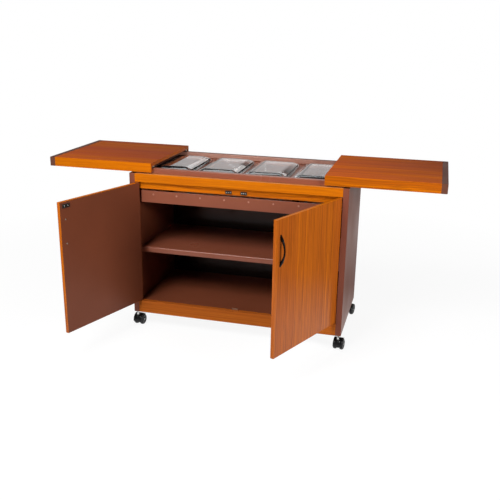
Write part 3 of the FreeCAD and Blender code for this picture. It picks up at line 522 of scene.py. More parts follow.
def row_tree():
    """A node tree that repeats its own mesh along a straight line."""
    tree = bpy.data.node_groups.new("row", "GeometryNodeTree")
    sockets = {}
    for label, kind in (("Head", "Geometry"), ("Count", "Int"), ("Start", "Vector"), ("Step", "Vector"),
                        ("Finish", "Material")):
        sockets[label] = tree.interface.new_socket(label, in_out="INPUT", socket_type="NodeSocket" + kind)
    tree.interface.new_socket("Row", in_out="OUTPUT", socket_type="NodeSocketGeometry")
    given = node(tree, "NodeGroupInput").outputs
    line = node(tree, "GeometryNodeMeshLine", {"Count": given["Count"], "Start Location": given["Start"],
                                               "Offset": given["Step"]})
    heads = node(tree, "GeometryNodeInstanceOnPoints", {"Points": line.outputs[0], "Instance": given["Head"]})
    solid = node(tree, "GeometryNodeRealizeInstances", {0: heads.outputs[0]})
    painted = node(tree, "GeometryNodeSetMaterial", {0: solid.outputs[0], "Material": given["Finish"]})
    node(tree, "NodeGroupOutput", {0: painted.outputs[0]})
    return tree, sockets


ROW_TREE, ROW_SOCKETS = row_tree()


def row_mesh(head, count, start, step, material):
    """The mesh of a row of heads."""
    mesh = mesh_of("head", head)
    mesh.materials.append(material)
    mesh.shade_smooth()
    mesh.set_sharp_from_angle(angle=SMOOTH_ANGLE)
    item = placed("row", mesh)
    maker = item.modifiers.new("row", "NODES")
    maker.node_group = ROW_TREE
    for label, value in (("Count", count), ("Start", start), ("Step", step), ("Finish", material)):
        maker[ROW_SOCKETS[label].identifier] = value
    made = settled(item)
    bpy.data.objects.remove(item)
    return made


def row_of(name, heads, body, stands_for=()):
    """A piece made of rows of heads that share a material."""
    shape = bmesh.new()
    for made in heads:
        shape.from_mesh(made)
    return piece(name, shape, body, [heads[0].materials[0]], stands_for)


def facing(direction):
    """The turn that takes +Z to a direction."""
    return direction.to_track_quat("Z", "Y").to_matrix().to_4x4()


def turned(shape, matrix):
    """The shape moved by a matrix, right side out."""
    shape.transform(matrix)
    if matrix.determinant() < 0:
        bmesh.ops.reverse_faces(shape, faces=shape.faces)
    return shape


def metal(name, tones, roughness):
    """Plated steel with faint drawing marks and stains."""
    material, tree, surface, place = new_finish(name)
    stain = noise(tree, place, STAIN_SCALE, detail=3.0)
    mark = noise(tree, place, MARK_SCALE)
    tree.links.new(blend(tree, between(tree, stain, 0.0, 1.0), *tones), surface.inputs["Base Color"])
    uneven_gloss(tree, surface, mark, roughness, MARK_SPREAD)
    surface.inputs["Metallic"].default_value = 1.0
    bumped(tree, surface, mark, MARK_BUMP, MARK_DEPTH)
    return material


hardboard = coated("dark_hardboard", HARDBOARD_TONES, roughness=0.16, gloss=1.0, grain=HARDBOARD_GRAIN)
bare_board = coated("bare_hardboard", BARE_TONES, roughness=0.55, gloss=0.3, grain=HARDBOARD_GRAIN,
                    depth=0.0002)
back = board("back_panel", [hardboard, bare_board], BACK_ARRIS)
faced(back, 1, REAR)
bright_steel = metal("bright_steel", STEEL_TONES, roughness=0.22)
low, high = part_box("back_panel")
foot = Vector((low.x + BACK_MARGIN, high.y, low.z + BACK_MARGIN))
across = Vector((high.x - low.x - 2 * BACK_MARGIN, 0, 0))
rise = Vector((0, 0, high.z - low.z - 2 * BACK_MARGIN))
along = across / (BACK_COLUMNS - 1)
climb = rise / (BACK_LEVELS + 1)
back_rows = []
for count, start, step in ((BACK_COLUMNS, foot, along), (BACK_COLUMNS, foot + rise, along),
                           (BACK_LEVELS, foot + climb, climb), (BACK_LEVELS, foot + across + climb, climb)):
    head = turned(screw_head(BACK_SCREW_RADIUS, BACK_SCREW_HEIGHT), facing(REAR))
    back_rows.append(row_mesh(head, count, start, step, bright_steel))
row_of("back_screws", back_rows, "cabinet")

# Middle shelf: one sheet of brown-enamelled steel with a deep front lip turned under, resting on four pegs.
# The rolled bends are a little uneven, so the light along them wavers.
SHELF_GAUGE = 0.0012
SHELF_HEM = 0.009
SHELF_BEND = 0.0050
SHELF_STATIONS = 160
LIP_WAVER = 0.00035
LIP_REACH = 3 * SHELF_BEND
# The pace, share and start of each ripple along the lip
LIP_WAVES = ((71, 1.0, 0.0), (127, 0.6, 1.3), (211, 0.4, 0.0))
BEND_STEPS = 6
ENAMEL_TONES = ((0.280, 0.082, 0.043, 1), (0.240, 0.068, 0.035, 1))
ENAMEL_COAT = {"grain": 900.0, "patches": 6.0}


def rounded(path, radius):
    """A line through points in a plane, with an arc of the given radius at each bend."""
    points = [Vector(path[0])]
    for before, corner, after in zip(path, path[1:], path[2:]):
        corner = Vector(corner)
        towards = (corner - Vector(before)).normalized()
        onwards = (Vector(after) - corner).normalized()
        turn = math.acos(max(-1.0, min(1.0, towards.dot(onwards))))
        trim = radius * math.tan(turn / 2)
        centre = corner + (onwards - towards).normalized() * radius / math.cos(turn / 2)
        start = corner - towards * trim - centre
        side = math.copysign(1.0, towards.x * onwards.y - towards.y * onwards.x)
        for step in range(BEND_STEPS + 1):
            swing = Matrix.Rotation(side * turn * step / BEND_STEPS, 2)
            points.append(centre + swing @ start)
    return points + [Vector(path[-1])]


def folded(path, gauge, bend):
    """The outline of a sheet bent along a (y, z) path whose bends all turn to the right."""
    inner = []
    for i, point in enumerate(path):
        near = [Vector(p) for p in path[max(i - 1, 0):i + 2]]
        shifted = Vector(point)
        for start, end in zip(near, near[1:]):
            direction = (end - start).normalized()
            shifted += Vector((direction.y, -direction.x)) * gauge
        inner.append(shifted)
    return rounded(path, bend + gauge) + rounded(inner, bend)[::-1]


def stacked(rings):
    """A closed skin through rings of points, capped at both ends."""
    shape = bmesh.new()
    rows = [[shape.verts.new(p) for p in ring] for ring in rings]
    for ring, following in zip(rows, rows[1:]):
        for i in range(len(ring)):
            shape.faces.new((ring[i - 1], ring[i], following[i], following[i - 1]))
    shape.faces.new(rows[0])
    shape.faces.new(rows[-1])
    bmesh.ops.recalc_face_normals(shape, faces=shape.faces)
    return shape


def drawn_out(outline, stations):
    """A closed (y, z) outline drawn through stations along x."""
    return stacked([[(x, p.x, p.y) for p in outline] for x in stations])


enamel = coated("brown_enamel", ENAMEL_TONES, roughness=0.30, **ENAMEL_COAT)
low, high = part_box("middle_shelf")
shelf_outline = folded([(low.y + SHELF_HEM, low.z), (low.y, low.z), (low.y, high.z), (high.y, high.z),
                        (high.y, low.z)], SHELF_GAUGE, SHELF_BEND)
shelf_stations = [low.x + (high.x - low.x) * i / SHELF_STATIONS for i in range(SHELF_STATIONS + 1)]
shelf_shape = drawn_out(shelf_outline, shelf_stations)
for vert in shelf_shape.verts:
    near_lip = max(0.0, 1 - (vert.co.y - low.y) / LIP_REACH)
    wave = sum(share * math.sin(vert.co.x * pace + start) for pace, share, start in LIP_WAVES)
    vert.co.y += LIP_WAVER * near_lip * (1 + wave / 2) / 2
piece("middle_shelf_sheet", shelf_shape, "cabinet", [enamel], ["middle_shelf"])

# Heater tray: a box of enamelled sheet steel under the well, hung from the panels by two folded ears. A row
# of dished screws through its front wall, lacquered brown, holds the element's straps.
TRAY_GAUGE = 0.0015
TRAY_ARRIS = 0.0005
EAR_LENGTH = 0.320
EAR_DROP = 0.020
EAR_GAP = 0.020
SCREW_COUNT = 8
SCREW_MARGIN = 0.0578
SCREW_DROP = 0.016
SCREW_RADIUS = 0.0042
SCREW_HEIGHT = 0.0024
# The section of a dished head from its axis, in shares of its radius and height
DISH_PROFILE = ((0, 0), (1, 0), (1, 0.5), (0.92, 1), (0.85, 1), (0.3, 0.2), (0, 0.2))
LACQUER_TONES = ((0.520, 0.245, 0.170, 1), (0.410, 0.180, 0.120, 1))
MIRROR = Matrix.Scale(-1, 4, (1, 0, 0))


def open_box(low, high, gauge):
    """A box without a lid, with walls and a floor of one gauge."""
    shape = block(low, high)
    top = max(shape.faces, key=lambda face: face.calc_center_median().z)
    bmesh.ops.inset_individual(shape, faces=[top], thickness=gauge, use_even_offset=True)
    sunk = bmesh.ops.extrude_discrete_faces(shape, faces=[top])["faces"][0]
    for vert in sunk.verts:
        vert.co.z = low[2] + gauge
    return shape


def dished_head(radius, height):
    """A head on the plane z = 0 with a conical hollow for the driver."""
    return lathe([(radius * out, height * up) for out, up in DISH_PROFILE], HEAD_SEGMENTS)


lacquer = coated("lacquered_heads", LACQUER_TONES, roughness=0.50, gloss=0.3, grain=900.0)
low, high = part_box("heater_tray")
ear_face = high.x
low.x += EAR_GAP
high.x -= EAR_GAP
ear_front = (low.y + high.y - EAR_LENGTH) / 2
ear_back = ear_front + EAR_LENGTH
tray_shapes = [open_box(low, high, TRAY_GAUGE)]
for near, far in (((high.x, ear_front, high.z - TRAY_GAUGE), (ear_face - TRAY_GAUGE, ear_back, high.z)),
                  ((ear_face - TRAY_GAUGE, ear_front, high.z - EAR_DROP), (ear_face, ear_back, high.z))):
    tray_shapes += [block(near, far), turned(block(near, far), MIRROR)]
piece("heater_tray_box", joined(tray_shapes), "cabinet", [enamel], ["heater_tray"],
      TRAY_ARRIS)
screw_step = (high.x - low.x - 2 * SCREW_MARGIN) / (SCREW_COUNT - 1)
screw = turned(dished_head(SCREW_RADIUS, SCREW_HEIGHT), facing(FRONT))
screws = row_mesh(screw, SCREW_COUNT, (low.x + SCREW_MARGIN, low.y, high.z - SCREW_DROP), (screw_step, 0, 0),
                  lacquer)
row_of("heater_screw_heads", [screws], "cabinet", ["heater_screws"])

# Well: an enamelled deck with an opening for each dish, between two slide rails that are folded from sheet
# steel. Their upright walls edge the well, and the leaves' runners hook under their flanges. The rear rail's
# front faces are a lighter enamel, painted light, and the top of its flange a darker one, painted shade.
REAR_WALL_PAINTED_LIGHT_TONES = ((0.370, 0.180, 0.130, 1), (0.320, 0.150, 0.108, 1))
FLANGE_PAINTED_SHADE_TONES = ((0.170, 0.075, 0.055, 1), (0.140, 0.060, 0.043, 1))
RAIL_GAUGE = 0.0015
RAIL_BEND = 0.0012
RAIL_FLANGE = 0.018
TONGUE_DROP = 0.009
TONGUE_WIDTH = 0.0125
SEAM_WIDTH = 2e-6
FLAT_ANGLE = math.radians(0.5)


def slide_rail(node_name, materials):
    """A folded rail: a wall in front, a foot and a flange to the rear, and a stop tongue at each end."""
    low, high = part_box(node_name)
    outline = folded([(high.y, low.z), (low.y, low.z), (low.y, high.z), (low.y + RAIL_FLANGE, high.z)],
                     RAIL_GAUGE, RAIL_BEND)
    shapes = [drawn_out(outline, (low.x, high.x))]
    for end in (low.x, high.x - RAIL_GAUGE):
        shapes.append(block((end, low.y + RAIL_FLANGE - TONGUE_WIDTH, high.z - TONGUE_DROP),
                            (end + RAIL_GAUGE, low.y + RAIL_FLANGE, high.z - RAIL_GAUGE)))
    return piece(node_name + "_sheet", joined(shapes), "cabinet", materials, [node_name])


def node_shape(node_name):
    """A node's surface as one skin, without the seams between its flat triangles."""
    shape = bmesh.new()
    shape.from_mesh(frame["nodes"][node_name].data)
    bmesh.ops.remove_doubles(shape, verts=shape.verts, dist=SEAM_WIDTH)
    bmesh.ops.dissolve_limit(shape, angle_limit=FLAT_ANGLE, verts=shape.verts, edges=shape.edges)
    return shape


def dressed(node_name, body, materials, arris=0.0):
    """A piece in a node's own shape."""
    return piece(node_name + "_piece", node_shape(node_name), body, materials, [node_name], arris)


rear_wall_painted_light = coated("enamel_painted_light", REAR_WALL_PAINTED_LIGHT_TONES, roughness=0.40, **ENAMEL_COAT)
flange_painted_shade = coated("enamel_painted_shade", FLANGE_PAINTED_SHADE_TONES, roughness=0.50, gloss=0.1, **ENAMEL_COAT)
slide_rail("front_slide_rail", [enamel])
rear_slide = slide_rail("rear_slide_rail", [enamel, rear_wall_painted_light, flange_painted_shade])
# Painted light on the rear rail's front faces, painted shade on its upward faces
faced(rear_slide, 1, FRONT)
faced(rear_slide, 2, UP)
dressed("dish_deck", "cabinet", [enamel])

# Dishes and lids: pressed clear glass. Each dish hangs by a broad rim in its opening, and its lid, with
# sloping sides and a flat top, lies on the rim. A dark tint on the front ridge of each lid is painted shade
# for the dark the thick glass shows there, and the upright edges of the rims are faint.
DISH_COUNT = 4
LOOSE_DISHES = (2, 3)
GLASS_TINT = (0.985, 0.985, 0.985, 1)
GLASS_BENDING = 1.49
RIPPLE_SCALE = 38.0
RIPPLE_GLOSS = (0.01, 0.03)
RIPPLE_BUMP = 0.05
RIPPLE_DEPTH = 0.0006
# A dark tint painted on each lid's front ridge: painted shade
RIDGE_PAINTED_SHADE_TINT = (0.045, 0.062, 0.078, 1)
RIDGE_STEEP = 0.87
RIDGE_FLAT = 0.992
RIM_BENDING = 1.12
RIM_STEEP = 0.6
CORNER_STEPS = 10
LEAST_CORNER = 0.004
RIM_CORNER = 0.034
RIM_OVERHANG = 0.012
RIM_DEPTH = 0.0074
RIM_ROUNDING = 0.0020
BOWL_TAPER = 0.010
BOWL_ROUNDING = 0.008
BOWL_CORNER_SHARE = 0.5
GLASS_WALL = 0.005
LID_CORNER = 0.026
LID_CORNER_SHARE = 0.66
LID_EDGE = 0.004
LID_SLOPE_RUN = 0.024
LID_FLAT_RUN = 0.02
LID_WALL = 0.0045
LID_ROUNDING = 0.0016
LID_FOOT_ROUNDING = 0.0012
LID_INNER_ROUNDING = 0.0008
LID_CREASE = 0.036
LID_INNER_CREASE = 0.0315


def round_ring(width, length, corner, height):
    """A level ring with round corners: its points, counted the same way on every ring."""
    points = []
    for quarter, (sx, sy) in enumerate(((1, 1), (-1, 1), (-1, -1), (1, -1))):
        for step in range(CORNER_STEPS + 1):
            a = math.pi / 2 * (quarter + step / CORNER_STEPS)
            points.append(Vector((sx * (width / 2 - corner) + corner * math.cos(a),
                                  sy * (length / 2 - corner) + corner * math.sin(a), height)))
    return points


def rounded_profile(corners):
    """(inset, height, rounding) corners of a section as points, with an arc at each rounded one."""
    points = [Vector(corners[0][:2])]
    for before, here, after in zip(corners, corners[1:], corners[2:]):
        if here[2]:
            points += rounded([before[:2], here[:2], after[:2]], here[2])[1:-1]
        else:
            points.append(Vector(here[:2]))
    return points + [Vector(corners[-1][:2])]


def pressed(low, high, corner, section, corner_share):
    """A pressed glass form between two corners, from a section of insets and heights."""
    middle = (low + high) / 2
    place = Vector((middle.x, middle.y, 0))
    size = high - low
    rings = []
    for inset, height in rounded_profile(section):
        ring_corner = max(LEAST_CORNER, corner - inset * corner_share)
        ring = round_ring(size.x - 2 * inset, size.y - 2 * inset, ring_corner, height)
        rings.append([p + place for p in ring])
    return stacked(rings)


def glass(name, tint, bending=GLASS_BENDING):
    """Clear glass with the faint ripple that pressing leaves."""
    material, tree, surface, place = new_finish(name)
    ripple = noise(tree, place, RIPPLE_SCALE, detail=1.0)
    surface.inputs["Base Color"].default_value = tint
    surface.inputs["Transmission Weight"].default_value = 1.0
    surface.inputs["IOR"].default_value = bending
    tree.links.new(between(tree, ripple, *RIPPLE_GLOSS), surface.inputs["Roughness"])
    bumped(tree, surface, ripple, RIPPLE_BUMP, RIPPLE_DEPTH)
    return material


clear_glass = glass("pressed_glass", GLASS_TINT)
ridge_painted_shade_glass = glass("ridge_painted_shade_glass", RIDGE_PAINTED_SHADE_TINT)
rim_glass = glass("rim_glass", GLASS_TINT, RIM_BENDING)
for number in range(1, DISH_COUNT + 1):
    dish_name = "dish_%d" % number
    low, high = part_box(dish_name)
    bowl_foot = RIM_OVERHANG + BOWL_TAPER
    rim_low = high.z - RIM_DEPTH
    section = [(bowl_foot + GLASS_WALL + BOWL_ROUNDING * 2, low.z + GLASS_WALL, 0),
               (bowl_foot + GLASS_WALL, low.z + GLASS_WALL, BOWL_ROUNDING - GLASS_WALL / 2),
               (RIM_OVERHANG + GLASS_WALL, high.z, RIM_ROUNDING), (0, high.z, RIM_ROUNDING),
               (0, rim_low, RIM_ROUNDING), (RIM_OVERHANG, rim_low, RIM_ROUNDING / 2),
               (bowl_foot, low.z, BOWL_ROUNDING), (bowl_foot + BOWL_ROUNDING * 2, low.z, 0)]
    dish = piece(dish_name + "_glass", pressed(low, high, RIM_CORNER, section, BOWL_CORNER_SHARE),
                 dish_name if number in LOOSE_DISHES else "cabinet", [clear_glass, rim_glass],
                 [dish_name])
    for face in dish.data.polygons:
        if abs(face.normal.z) < RIM_STEEP and face.center.z > rim_low:
            face.material_index = 1

    lid_name = "lid_%d" % number
    low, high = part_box(lid_name)
    section = [(LID_SLOPE_RUN + LID_WALL + LID_FLAT_RUN, high.z - LID_WALL, 0),
               (LID_SLOPE_RUN + LID_WALL, high.z - LID_WALL, LID_INNER_CREASE),
               (LID_WALL, low.z, LID_INNER_ROUNDING), (0, low.z, LID_FOOT_ROUNDING),
               (0, low.z + LID_EDGE, LID_ROUNDING), (LID_SLOPE_RUN, high.z, LID_CREASE),
               (LID_SLOPE_RUN + LID_FLAT_RUN, high.z, 0)]
    lid = piece(lid_name + "_glass", pressed(low, high, LID_CORNER, section, LID_CORNER_SHARE), lid_name,
                [clear_glass, ridge_painted_shade_glass, rim_glass], [lid_name])
    # The front ridge's faces take the painted dark tint
    for face in lid.data.polygons:
        if RIDGE_STEEP < face.normal.z < RIDGE_FLAT and -face.normal.y > abs(face.normal.x):
            face.material_index = 1
        elif abs(face.normal.z) < RIM_STEEP:
            face.material_index = 2
    # Thin clear glass casts hardly any shadow
    lid.visible_shadow = False

# Leaves: each a board with aprons at the front and rear, wrapped in the teak print, with its underside and
# the inner faces of its aprons near-black as painted shade. The right leaf's top has a lighter print, painted
# light. A brown plastic cap covers its outer end, and black runners underneath, with pale nylon glides, hook
# on to the slide rails.
LEAF_TONES = ((0.580, 0.143, 0.009, 1), (0.480, 0.106, 0.011, 1), (0.400, 0.078, 0.034, 1))
# Lighter tones for the right leaf's top, which lies farther from the high soft box: painted light
RIGHT_TOP_PAINTED_LIGHT_TONES = ((0.820, 0.195, 0.010, 1), (0.650, 0.140, 0.012, 1), (0.470, 0.084, 0.036, 1))
APRON_TONES = ((0.860, 0.235, 0.001, 1), TEAK_MID, TEAK_RED)
LEAF_GLOSS = 0.001
LEAF_ARRIS = 0.0007
BARE_MARGIN = 0.02
CAP_TONES = ((0.150, 0.058, 0.036, 1), (0.120, 0.044, 0.027, 1))
BLACK_TONES = ((0.0060, 0.0060, 0.0062, 1), (0.0040, 0.0040, 0.0042, 1))
NYLON_TONES = ((0.42, 0.32, 0.24, 1), (0.34, 0.25, 0.18, 1))
RUNNER_ARRIS = 0.0005
GLIDE_GAUGE = 0.0014
GLIDE_INSET = 0.001
GLIDE_WIDTH = 0.018
GLIDE_HEIGHT = 0.005
GLIDE_ARRIS = 0.0003
ALONG_Y = Matrix.Rotation(math.radians(-90), 3, "Z")


def backed_in_painted_shade(item, index):
    """Paints the underside and the faces between the aprons near-black: painted shade under the leaf."""
    low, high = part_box("left_leaf_aprons")
    middle = (low.y + high.y) / 2
    for face in item.data.polygons:
        inward = face.normal.y * (middle - face.center.y) > 0 and abs(face.normal.y) > FACING_SHARE
        within = low.y + BARE_MARGIN < face.center.y < high.y - BARE_MARGIN
        if inward or (face.normal.z < -FACING_SHARE and within):
            face.material_index = index


leaf_edge = teak("teak_leaf_ends", ALONG_Y, LEAF_TONES, seed=4.1)
cap_plastic = coated("cap_plastic", CAP_TONES, roughness=0.50, gloss=0.15, grain=1100.0, depth=0.0002)
runner_plastic = coated("runner_plastic", BLACK_TONES, roughness=0.45)
nylon = coated("natural_nylon", NYLON_TONES, roughness=0.4, grain=800.0)
leaf_teaks = {
    "left_leaf_aprons": teak("teak_left_aprons", ALONG_X, TEAK_TONES, seed=2.3, drift=4.0, redness=0.25,
                             lines=0.2, gloss=LEAF_GLOSS),
    "right_leaf_aprons": teak("teak_right_aprons", ALONG_X, APRON_TONES, seed=6.9, drift=9.0, redness=1.0,
                              lines=0.8, gloss=LEAF_GLOSS),
    "left_leaf_top": teak("teak_left_top", ALONG_X, LEAF_TONES, seed=3.9, drift=4.5, redness=1.0,
                          lines=0.40, gloss=LEAF_GLOSS),
    "right_leaf_top": teak("teak_right_top_painted_light", ALONG_X, RIGHT_TOP_PAINTED_LIGHT_TONES, seed=6.3, drift=4.5, redness=1.0,
                           lines=0.45, gloss=LEAF_GLOSS)}
for leaf, inward in (("left_leaf", 1), ("right_leaf", -1)):
    for part in (leaf + "_top", leaf + "_aprons"):
        wrapped = dressed(part, leaf, [leaf_teaks[part], leaf_edge, hardboard], LEAF_ARRIS)
        faced(wrapped, 1, Vector((inward, 0, 0)))
        # The underside and the inner apron faces take the near-black board finish as painted shade
        backed_in_painted_shade(wrapped, 2)
    dressed(leaf + "_end_cap", leaf, [cap_plastic])
    dressed(leaf + "_runners", leaf, [runner_plastic], RUNNER_ARRIS)
    low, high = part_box(leaf + "_runners")
    end = high.x if inward > 0 else low.x
    ends = sorted((end, end + inward * GLIDE_GAUGE))
    top = high.z - GLIDE_INSET
    glides = [block((ends[0], front, top - GLIDE_HEIGHT), (ends[1], front + GLIDE_WIDTH, top))
              for front in (low.y + GLIDE_INSET, high.y - GLIDE_INSET - GLIDE_WIDTH)]
    piece(leaf + "_glides", joined(glides), leaf, [nylon], (), GLIDE_ARRIS)

# Doors: boards with the teak print upright on the outer face and along the edges, and brown laminate inside.
# Each hangs on steel pins at its outer corners, with its hinge edge rounded to turn clear of the panel.
DOOR_GAUGE = 0.015
DOOR_WIDTH = 0.456
PIVOT_INSET = 0.005
DOOR_ROUND_STEPS = 8
DOOR_ARRIS = 0.0007
DOOR_TONES = ((0.760, 0.195, 0.008, 1), (0.560, 0.125, 0.010, 1), (0.420, 0.083, 0.014, 1))
DOOR_SEEDS = {"left": 2.9, "right": 8.4}
END_SEED = 0.5
INSIDE_LIMIT = 0.98
joints = {joint["name"]: joint for joint in frame["joints"]}
door_low, door_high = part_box("left_door")
left_pivot = Vector(joints["left_door_hinge"]["pos_m"])
door_edge = left_pivot.x - PIVOT_INSET
door_front = left_pivot.y - PIVOT_INSET
from_shut = {}


def as_open(side, direction):
    """A direction on the shut left door, as it lies on the open door of a side."""
    return from_shut[side].to_3x3() @ Vector(direction)


for side, seed in DOOR_SEEDS.items():
    hinge = joints[side + "_door_hinge"]
    closing = math.radians(max(hinge["range_deg"], key=abs))
    pivot = Vector(hinge["pos_m"])
    swing = Matrix.Translation(pivot) @ Matrix.Rotation(-closing, 4, "Z") @ Matrix.Translation(-pivot)
    from_shut[side] = swing if side == "left" else swing @ MIRROR
    unswung = Matrix.Rotation(closing, 3, "Z")
    upright = Matrix.Rotation(math.radians(90), 3, "Y") @ unswung
    door_teak = teak("teak_%s_door" % side, upright, DOOR_TONES, seed, drift=1.2, redness=0.5, lines=0.7,
                     gloss=0.2, roughness=0.2)
    edge_teak = teak("teak_%s_door_ends" % side, unswung, TEAK_TONES, seed + END_SEED, drift=1.6, redness=0.2,
                     lines=0.15)
    shape = block((door_edge, door_front, door_low.z),
                  (door_edge + DOOR_WIDTH, door_front + DOOR_GAUGE, door_high.z))
    corner = [e for e in shape.edges if all(v.co.x < left_pivot.x and v.co.y < left_pivot.y for v in e.verts)]
    bmesh.ops.bevel(shape, geom=corner, offset=PIVOT_INSET, segments=DOOR_ROUND_STEPS, profile=0.5,
                    affect="EDGES")
    door = piece(side + "_door_board", turned(shape, from_shut[side]), side + "_door",
                 [door_teak, laminate, edge_teak], [side + "_door"], DOOR_ARRIS)
    faced(door, 1, as_open(side, REAR), INSIDE_LIMIT)
    faced(door, 2, UP)
    faced(door, 2, -UP)

# Handles: bowed grips moulded in glossy black plastic, each held by two screws through the door, whose dull
# steel heads show inside.
GRIP_FROM_EDGE = 0.027
GRIP_DROP = 0.123
# Half the length and the height of the bow's outer and inner arcs
GRIP_OUTER = (0.0645, 0.022)
GRIP_INNER = (0.043, 0.017)
GRIP_HALF_WIDTH = 0.00425
GRIP_STATIONS = 48
GRIP_POINTS = 28
GRIP_SQUARENESS = 0.7
GRIP_TONES = ((0.0030, 0.0028, 0.0026, 1), (0.0020, 0.0018, 0.0017, 1))
GRIP_SCREW_COUNT = 2
GRIP_SCREW_SPACING = 0.100
GRIP_SCREW_RADIUS = 0.0030
GRIP_SCREW_HEIGHT = 0.0016
DULL_TONES = ((0.46, 0.40, 0.34, 1), (0.32, 0.27, 0.23, 1))
grip_x = door_edge + DOOR_WIDTH - GRIP_FROM_EDGE
grip_z = door_high.z - GRIP_DROP


def bow_point(half_length, height, share):
    """A point of an arc that stands on a line: how far along the line and how far off it."""
    radius = (half_length ** 2 + height ** 2) / (2 * height)
    a = math.asin(half_length / radius) * share
    return radius * math.sin(a), height - radius + radius * math.cos(a)


def softened(value):
    """A cosine or sine swelled so that the oval it draws has flatter sides."""
    return math.copysign(abs(value) ** GRIP_SQUARENESS, value)


def bow_grip():
    """The left-hand grip, with its door shut."""
    rings = []
    for station in range(GRIP_STATIONS + 1):
        share = 2 * station / GRIP_STATIONS - 1
        outer = Vector(bow_point(*GRIP_OUTER, share))
        inner = Vector(bow_point(*GRIP_INNER, share))
        ring = []
        for k in range(GRIP_POINTS):
            a = 2 * math.pi * k / GRIP_POINTS
            along, off = (outer + inner) / 2 + (outer - inner) / 2 * softened(math.cos(a))
            ring.append((grip_x + GRIP_HALF_WIDTH * softened(math.sin(a)), door_front - max(0.0, off),
                         grip_z + along))
        rings.append(ring)
    return stacked(rings)


dull_steel = metal("dull_steel", DULL_TONES, roughness=0.35)
gloss_black = coated("gloss_black", GRIP_TONES, roughness=0.20, gloss=0.12, grain=1500.0, depth=0.00003)
for side in ("left", "right"):
    piece(side + "_grip", turned(bow_grip(), from_shut[side]), side + "_door", [gloss_black],
          [side + "_handle"])
    head = turned(screw_head(GRIP_SCREW_RADIUS, GRIP_SCREW_HEIGHT), facing(as_open(side, REAR)))
    first = from_shut[side] @ Vector((grip_x, door_front + DOOR_GAUGE, grip_z - GRIP_SCREW_SPACING / 2))
    screws = row_mesh(head, GRIP_SCREW_COUNT, first, (0, 0, GRIP_SCREW_SPACING), dull_steel)
    row_of(side + "_grip_screws", [screws], side + "_door")

# Catches: two black magnet cases screwed to the catch rail, and on each door a black strike plate. Small dull
# zinc studs show on both. A dark brown nylon stop on the plinth meets the doors' lower corners.
CASE_ARRIS = 0.0012
CASE_OFFSET = 0.034
CASE_TONES = ((0.022, 0.018, 0.015, 1), (0.016, 0.013, 0.011, 1))
ZINC_TONES = ((0.86, 0.85, 0.82, 1), (0.74, 0.73, 0.70, 1))
STUD_COUNT = 3
STUD_RADIUS = 0.0018
STUD_HEIGHT = 0.0004
STUD_SUNK = 0.0003
STUD_SPACING = 0.0085
STRIKE_GAUGE = 0.002
STRIKE_ARRIS = 0.0006
STRIKE_STUD_COUNT = 2
STRIKE_STUD_RADIUS = 0.0025
STRIKE_STUD_SPACING = 0.017
# Darker tones than the glides' nylon
STOP_TONES = ((0.230, 0.115, 0.070, 1), (0.180, 0.088, 0.052, 1))
STOP_ARRIS = 0.0006
case_black = coated("case_black", CASE_TONES, roughness=0.35)
dull_zinc = coated("dull_zinc", ZINC_TONES, roughness=0.4)
stop_nylon = coated("dark_brown_nylon", STOP_TONES, roughness=0.5, gloss=0.2, grain=800.0)
dressed("door_catches", "cabinet", [case_black], CASE_ARRIS)
low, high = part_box("door_catches")
stud_rows = []
for middle in (-CASE_OFFSET, CASE_OFFSET):
    stud = turned(screw_head(STUD_RADIUS, STUD_HEIGHT), facing(FRONT))
    first = (middle - STUD_SPACING, low.y + STUD_SUNK, (low.z + high.z) / 2)
    stud_rows.append(row_mesh(stud, STUD_COUNT, first, (STUD_SPACING, 0, 0), dull_zinc))
row_of("catch_studs", stud_rows, "cabinet")
strike_face = door_front + DOOR_GAUGE + STRIKE_GAUGE
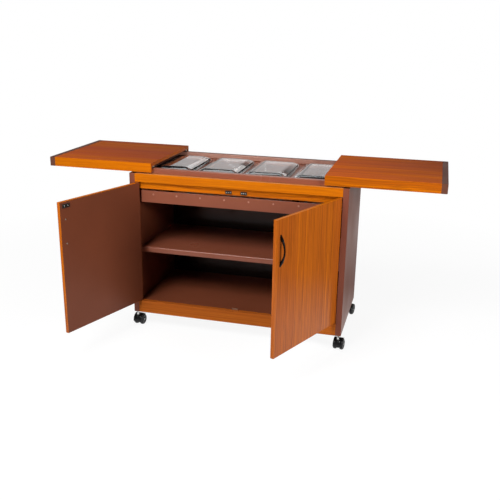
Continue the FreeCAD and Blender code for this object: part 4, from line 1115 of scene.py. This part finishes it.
for side in ("left", "right"):
    dressed(side + "_strike_plate", side + "_door", [case_black], STRIKE_ARRIS)
    low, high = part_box(side + "_strike_plate")
    stud = turned(screw_head(STRIKE_STUD_RADIUS, STUD_HEIGHT), facing(as_open(side, REAR)))
    first = from_shut[side] @ Vector((-CASE_OFFSET - STRIKE_STUD_SPACING / 2, strike_face - STUD_SUNK,
                                      (low.z + high.z) / 2))
    studs = row_mesh(stud, STRIKE_STUD_COUNT, first, as_open(side, (STRIKE_STUD_SPACING, 0, 0)), dull_zinc)
    row_of(side + "_strike_studs", [studs], side + "_door")
dressed("door_stop", "cabinet", [stop_nylon], STOP_ARRIS)

# Castors: twin wheels of black nylon either side of a hooded housing, on plated stems that are driven into
# the side panels' bottom edges. The housing is hollow below, between the wheels.
WEB_CLEAR = 0.011
WEB_MARGIN = Vector((0.002, 0.002, 0.0))
castor_black = coated("castor_black", BLACK_TONES, roughness=0.34, gloss=0.3, grain=900.0)
for corner in ("front_left", "front_right", "rear_left", "rear_right"):
    housing = corner + "_castor_housing"
    low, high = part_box(housing)
    below = block(low - WEB_MARGIN - UP * WEB_CLEAR, Vector((high.x, high.y, low.z + WEB_CLEAR)) + WEB_MARGIN)
    piece(housing + "_piece", carved(node_shape(housing), below), corner + "_castor",
          [castor_black], [housing])
    dressed(corner + "_castor_wheels", corner + "_wheels", [castor_black])
    dressed(corner + "_castor_axle", corner + "_wheels", [bright_steel])
dressed("castor_stems", "cabinet", [bright_steel])

# Small inner pieces: steel door pins in plastic bushes, shelf pegs, and the sheathed element on its straps,
# with a disc thermostat and a cable gland.
SHEATH_TONES = ((0.30, 0.28, 0.26, 1), (0.20, 0.18, 0.16, 1))
sheath_steel = metal("sheath_steel", SHEATH_TONES, roughness=0.38)
for inner, finish, slot in (("shelf_pegs", bright_steel, "steel"), ("element_straps", sheath_steel, "steel"),
                            ("heating_element", sheath_steel, "steel"),
                            ("pivot_bushes", cap_plastic, "brown_plastic"),
                            ("thermostat", case_black, "black_plastic"),
                            ("cable_gland", case_black, "black_plastic")):
    dressed(inner, "cabinet", [finish])
for side in ("left", "right"):
    dressed(side + "_pivots", side + "_door", [bright_steel])
